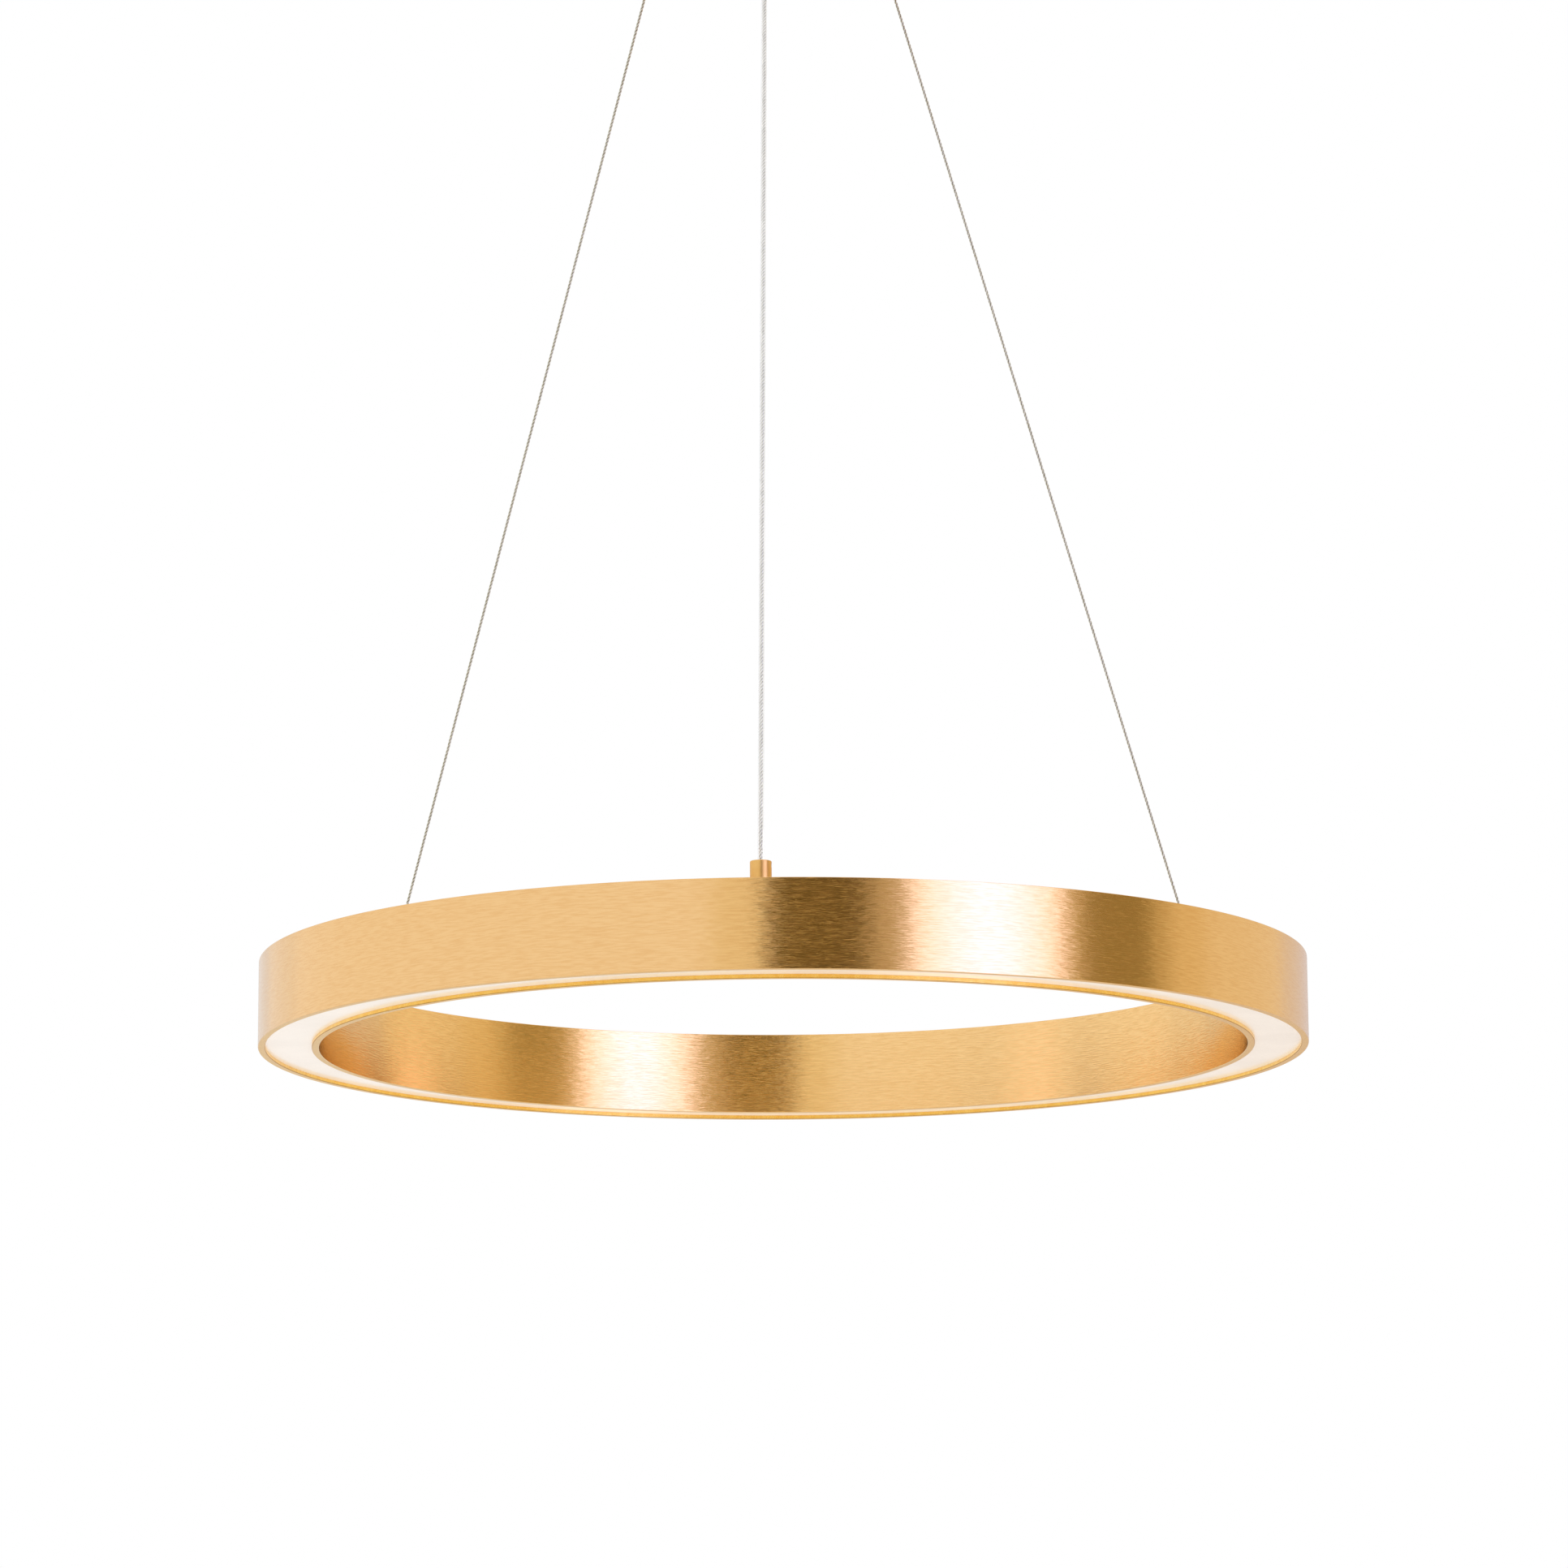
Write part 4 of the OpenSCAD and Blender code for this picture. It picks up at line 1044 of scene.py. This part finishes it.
@dataclass
class RingBody:
    """The lit ring: two brushed bands, the opal strip between them, and the cover on top."""

    centre: Vector
    outer_r: float
    height: float
    width: float = 34.7 * MM
    wall: float = 1.8 * MM
    rim_w: float = 4.1 * MM
    rim_t: float = 2.2 * MM
    ridge_w: float = 0.8 * MM
    ridge_h: float = 1.0 * MM
    ridge_z: float = 4.4 * MM
    flange_w: float = 5.6 * MM
    flange_t: float = 2.0 * MM
    cover_t: float = 1.8 * MM
    opal_t: float = 2.0 * MM
    opal_gap: float = 0.2 * MM
    edge: float = 0.3 * MM
    fine_edge: float = 0.15 * MM
    arris: float = 0.5 * MM
    # How far down a face of the lip looks: straight, or at a slope
    level: float = 0.98
    sloped: float = 0.3
    steps: int = 512

    def band_outline(self) -> Outline:
        """Gives a band's outline, with its visible wall at 0 and its lip towards the other band."""
        flange_top = self.height - self.cover_t
        flange_low = flange_top - self.flange_t
        inner = self.wall
        ridge, ridge_top = inner + self.ridge_w, self.ridge_z + self.ridge_h
        flange = inner + self.flange_w
        lip = [(0, 0), (self.rim_w, 0), (self.rim_w, self.rim_t)]
        hidden = [(inner, self.rim_t), (inner, self.ridge_z), (ridge, self.ridge_z), (ridge, ridge_top),
                  (inner, ridge_top), (inner, flange_low), (flange, flange_low), (flange, flange_top),
                  (inner, flange_top)]
        radii = [self.edge, self.arris, self.fine_edge, *[0.0] * len(hidden), self.fine_edge, self.edge]
        return rounded([*lip, *hidden, (inner, self.height), (0, self.height)], radii)

    def bands(self) -> None:
        """Makes the outer and the inner band."""
        outline = self.band_outline()
        inner_r = self.outer_r - self.width
        for node, gold, wall_r, way in (("outer_band", RING_GOLD, self.outer_r, -1),
                                        ("inner_band", INNER_GOLD_PAINTED_LIGHTER, inner_r, 1)):
            shape = [(wall_r + way * x, z) for x, z in outline]
            band = revolve(node + "_brushed", shape, self.steps, self.centre)
            fit(band, gold, Body.RING, Slot.BRUSHED_GOLD, node)
            self.paint_lip_glow_and_reflections(band)

    def paint_lip_glow_and_reflections(self, band: Object) -> None:
        """Gives the lip's upright edge, underside and arris, beside the opal strip, their own golds, in
        which glow and reflections are painted.
        """
        for finish in (LIP_GOLD_PAINTED_GLOW, RIM_GOLD_PAINTED_REFLECTION, ARRIS_GOLD_PAINTED_DARK_REFLECTION):
            band.data.materials.append(finish.material())
        for face in band.data.polygons:
            off_middle = abs(math.hypot(face.center.x, face.center.y) - self.outer_r + self.width / 2)
            down = -face.normal.z
            if face.center.z >= self.rim_t or off_middle > self.width / 2 - self.edge:
                continue
            # The underside gets the painted warm reflection
            if down > self.level:
                face.material_index = 2
            # The sloped arris gets the painted dark reflection, the upright edge the painted glow
            elif off_middle < self.width / 2 - self.rim_w + self.edge:
                face.material_index = 3 if down > self.sloped else 1

    def diffuser(self) -> None:
        """Makes the opal strip, let in between the lips."""
        low, high = self.rim_t, self.rim_t + self.opal_t
        near = self.outer_r - self.width + self.wall + self.opal_gap
        far = self.outer_r - self.wall - self.opal_gap
        outline = rounded([(near, low), (far, low), (far, high), (near, high)], [self.edge] * 4)
        strip = revolve("opal_light_strip", outline, self.steps, self.centre)
        fit(strip, OPAL, Body.RING, Slot.OPAL, "diffuser")

    def build(self) -> None:
        """Makes the ring's visible pieces and dresses the others."""
        self.bands()
        self.diffuser()
        dress(GOLD_LACQUER, "top_cover")
        dress(SATIN_GOLD, "top_cover_screws", "cable_gland", "wire_fitting_left", "wire_fitting_right")
        dress(ZINC, "carrier_screws", "carrier_standoffs", "fitting_locknuts", "gland_grub_screw")
        dress(BALL_STEEL, "cable_stop", "wire_stop_left", "wire_stop_right")
        dress(MILL_ALUMINIUM, "led_carrier")
        dress(WHITE_BOARD, "led_strip")
        dress(PHOSPHOR, "led_chips")
        dress(NYLON, "strip_connector")
        dress(WHITE_CASE, "ring_lead")


@dataclass
class Canopy:
    """The ceiling canopy with all that it holds, and the cable ends and leads inside it."""

    wire: WireRope = WireRope()
    cable: PowerCable = PowerCable()
    lead_d: float = 2.0 * MM
    lead_sides: int = 20
    lead_step: float = 0.8 * MM
    lead_pitch: float = 5.5 * MM
    lead_in: float = 4.0 * MM
    # Points of a lead's curve: share of its span, how far aside, share of its rise, and sag below that
    lead_sag: tuple[tuple[float, float, float, float], ...] = (
        (0.3, 0.0, 0.0, 0.5 * MM), (0.5, 1.0 * MM, 0.5, 1.0 * MM), (0.72, 0.0, 1.0, 0.4 * MM))
    case_wall: float = 1.6 * MM
    output_drop: float = 7.0 * MM
    output_y: float = -9.0 * MM
    straight: float = 1.5 * MM
    tail_in: float = 12.0 * MM
    tail_turns: tuple[float, ...] = (-17, -44, -66)
    # Shares of its bend's height at which the tail starts and ends its turn
    tail_rises: tuple[float, float] = (0.3, 0.8)
    tail_end: float = 4.5 * MM
    cup_r: float = 100.0 * MM

    def cable_tail(self) -> None:
        """Leads the power cable out of its grip, round the driver and into the driver's left end."""
        grip = pivot_of("cable_swing")
        case_low, case_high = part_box("driver_lid")
        output_z = case_high.z - self.output_drop
        up = Vector((grip.x, grip.y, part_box("cord_grip_body")[1].z))
        turn = math.atan2(grip.y, grip.x)
        reach = math.hypot(grip.x, grip.y) - self.tail_in
        angles = [turn + math.radians(a) for a in self.tail_turns]
        round_driver = [Vector((reach * math.cos(a), reach * math.sin(a), output_z)) for a in angles]
        heading = (round_driver[0] - grip).to_2d().normalized().to_3d()
        bend = output_z - up.z
        side = bend * (1 - math.cos(math.pi / 4))
        upright = Vector((0, 0, 1))
        rise, turned = (upright * bend * share for share in self.tail_rises)
        end = Vector((case_low.x, self.output_y, output_z))
        route = [grip, (grip + up) / 2, up - upright * self.straight, up + rise,
                 up + heading * side + turned, up + (heading + upright) * bend, *round_driver,
                 end - Vector((self.tail_end, self.straight, 0)), end - Vector((self.straight, 0, 0)),
                 end + Vector((self.case_wall, 0, 0))]
        self.cable.build("cable_tail", smooth(route), Body.CEILING, "power_cable_tail")

    def wire_tails(self) -> None:
        """Stands the ends of the two wire ropes up out of their grippers."""
        for side in ("left", "right"):
            node = f"wire_tail_{side}"
            low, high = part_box(node)
            middle = (low + high) / 2
            route = [Vector((middle.x, middle.y, z)) for z in (low.z, high.z)]
            self.wire.build(f"{side}_wire_tail", route, Body.CEILING, node)

    def mains_leads(self) -> None:
        """Hangs the two mains leads in a slack curve from the terminal block to the driver."""
        block_low, block_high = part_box("terminal_block")
        case_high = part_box("driver_lid")[1]
        start = case_high.x - self.case_wall
        end = block_low.x + self.lead_in
        low, high = case_high.z - self.output_drop, (block_low.z + block_high.z) / 2
        span, climb = end - start, high - low
        section = circle_section(self.lead_d, self.lead_sides)
        for name, way, nodes in (("mains_lead_front", -1, ["mains_leads"]), ("mains_lead_back", 1, [])):
            y = way * self.lead_pitch
            curve = [Vector((start + span * share, y + way * aside, low + climb * rise - sag))
                     for share, aside, rise, sag in self.lead_sag]
            route = [Vector((start, y, low)), Vector((start + self.case_wall + self.straight, y, low)),
                     *curve, Vector((end, y, high))]
            lead = sweep_tube(name, evenly(smooth(route), self.lead_step), section)
            fit(lead, BROWN_PVC, Body.CEILING, Slot.BROWN_LEAD, *nodes)

    def build(self) -> None:
        """Makes the cable ends and leads, and dresses the canopy's solids."""
        self.cable_tail()
        self.wire_tails()
        self.mains_leads()
        cup_gold = BrushedMetal("pressed_aluminium_brushed_gold", RING_GOLD.colour, RING_GOLD.shade,
                                radius=self.cup_r)
        dress(cup_gold, "canopy_cup")
        dress(SATIN_GOLD, "canopy_screws", "gripper_body_left", "gripper_body_right",
              "cord_grip_body", "cord_grip_cap")
        dress(ZINC, "ceiling_bracket", "canopy_nuts", "driver_screws", "terminal_screws",
              "gripper_spring_left", "gripper_spring_right")
        dress(RAW_BRASS, "release_nipple_left", "release_nipple_right", "earth_screw")
        dress(BALL_STEEL, "gripping_balls_left", "gripping_balls_right")
        dress(WHITE_CASE, "driver_base", "driver_lid")
        dress(NYLON, "terminal_block", "cord_grip_collet")
        dress(GREEN_BOARD, "driver_board")
        dress(BLACK_SLEEVE, "driver_transformer", "driver_capacitors")


def main() -> None:
    """Builds the studio and the light, in order."""
    logging.basicConfig(level=logging.INFO, format="%(message)s")
    low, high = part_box("outer_band")
    centre = Vector(((low.x + high.x) / 2, (low.y + high.y) / 2, low.z))
    Studio(ring=centre).build()
    HangingCables().build()
    RingBody(centre=centre, outer_r=(high.x - low.x) / 2, height=high.z - low.z).build()
    Canopy().build()


if __name__ == "__main__":
    main()
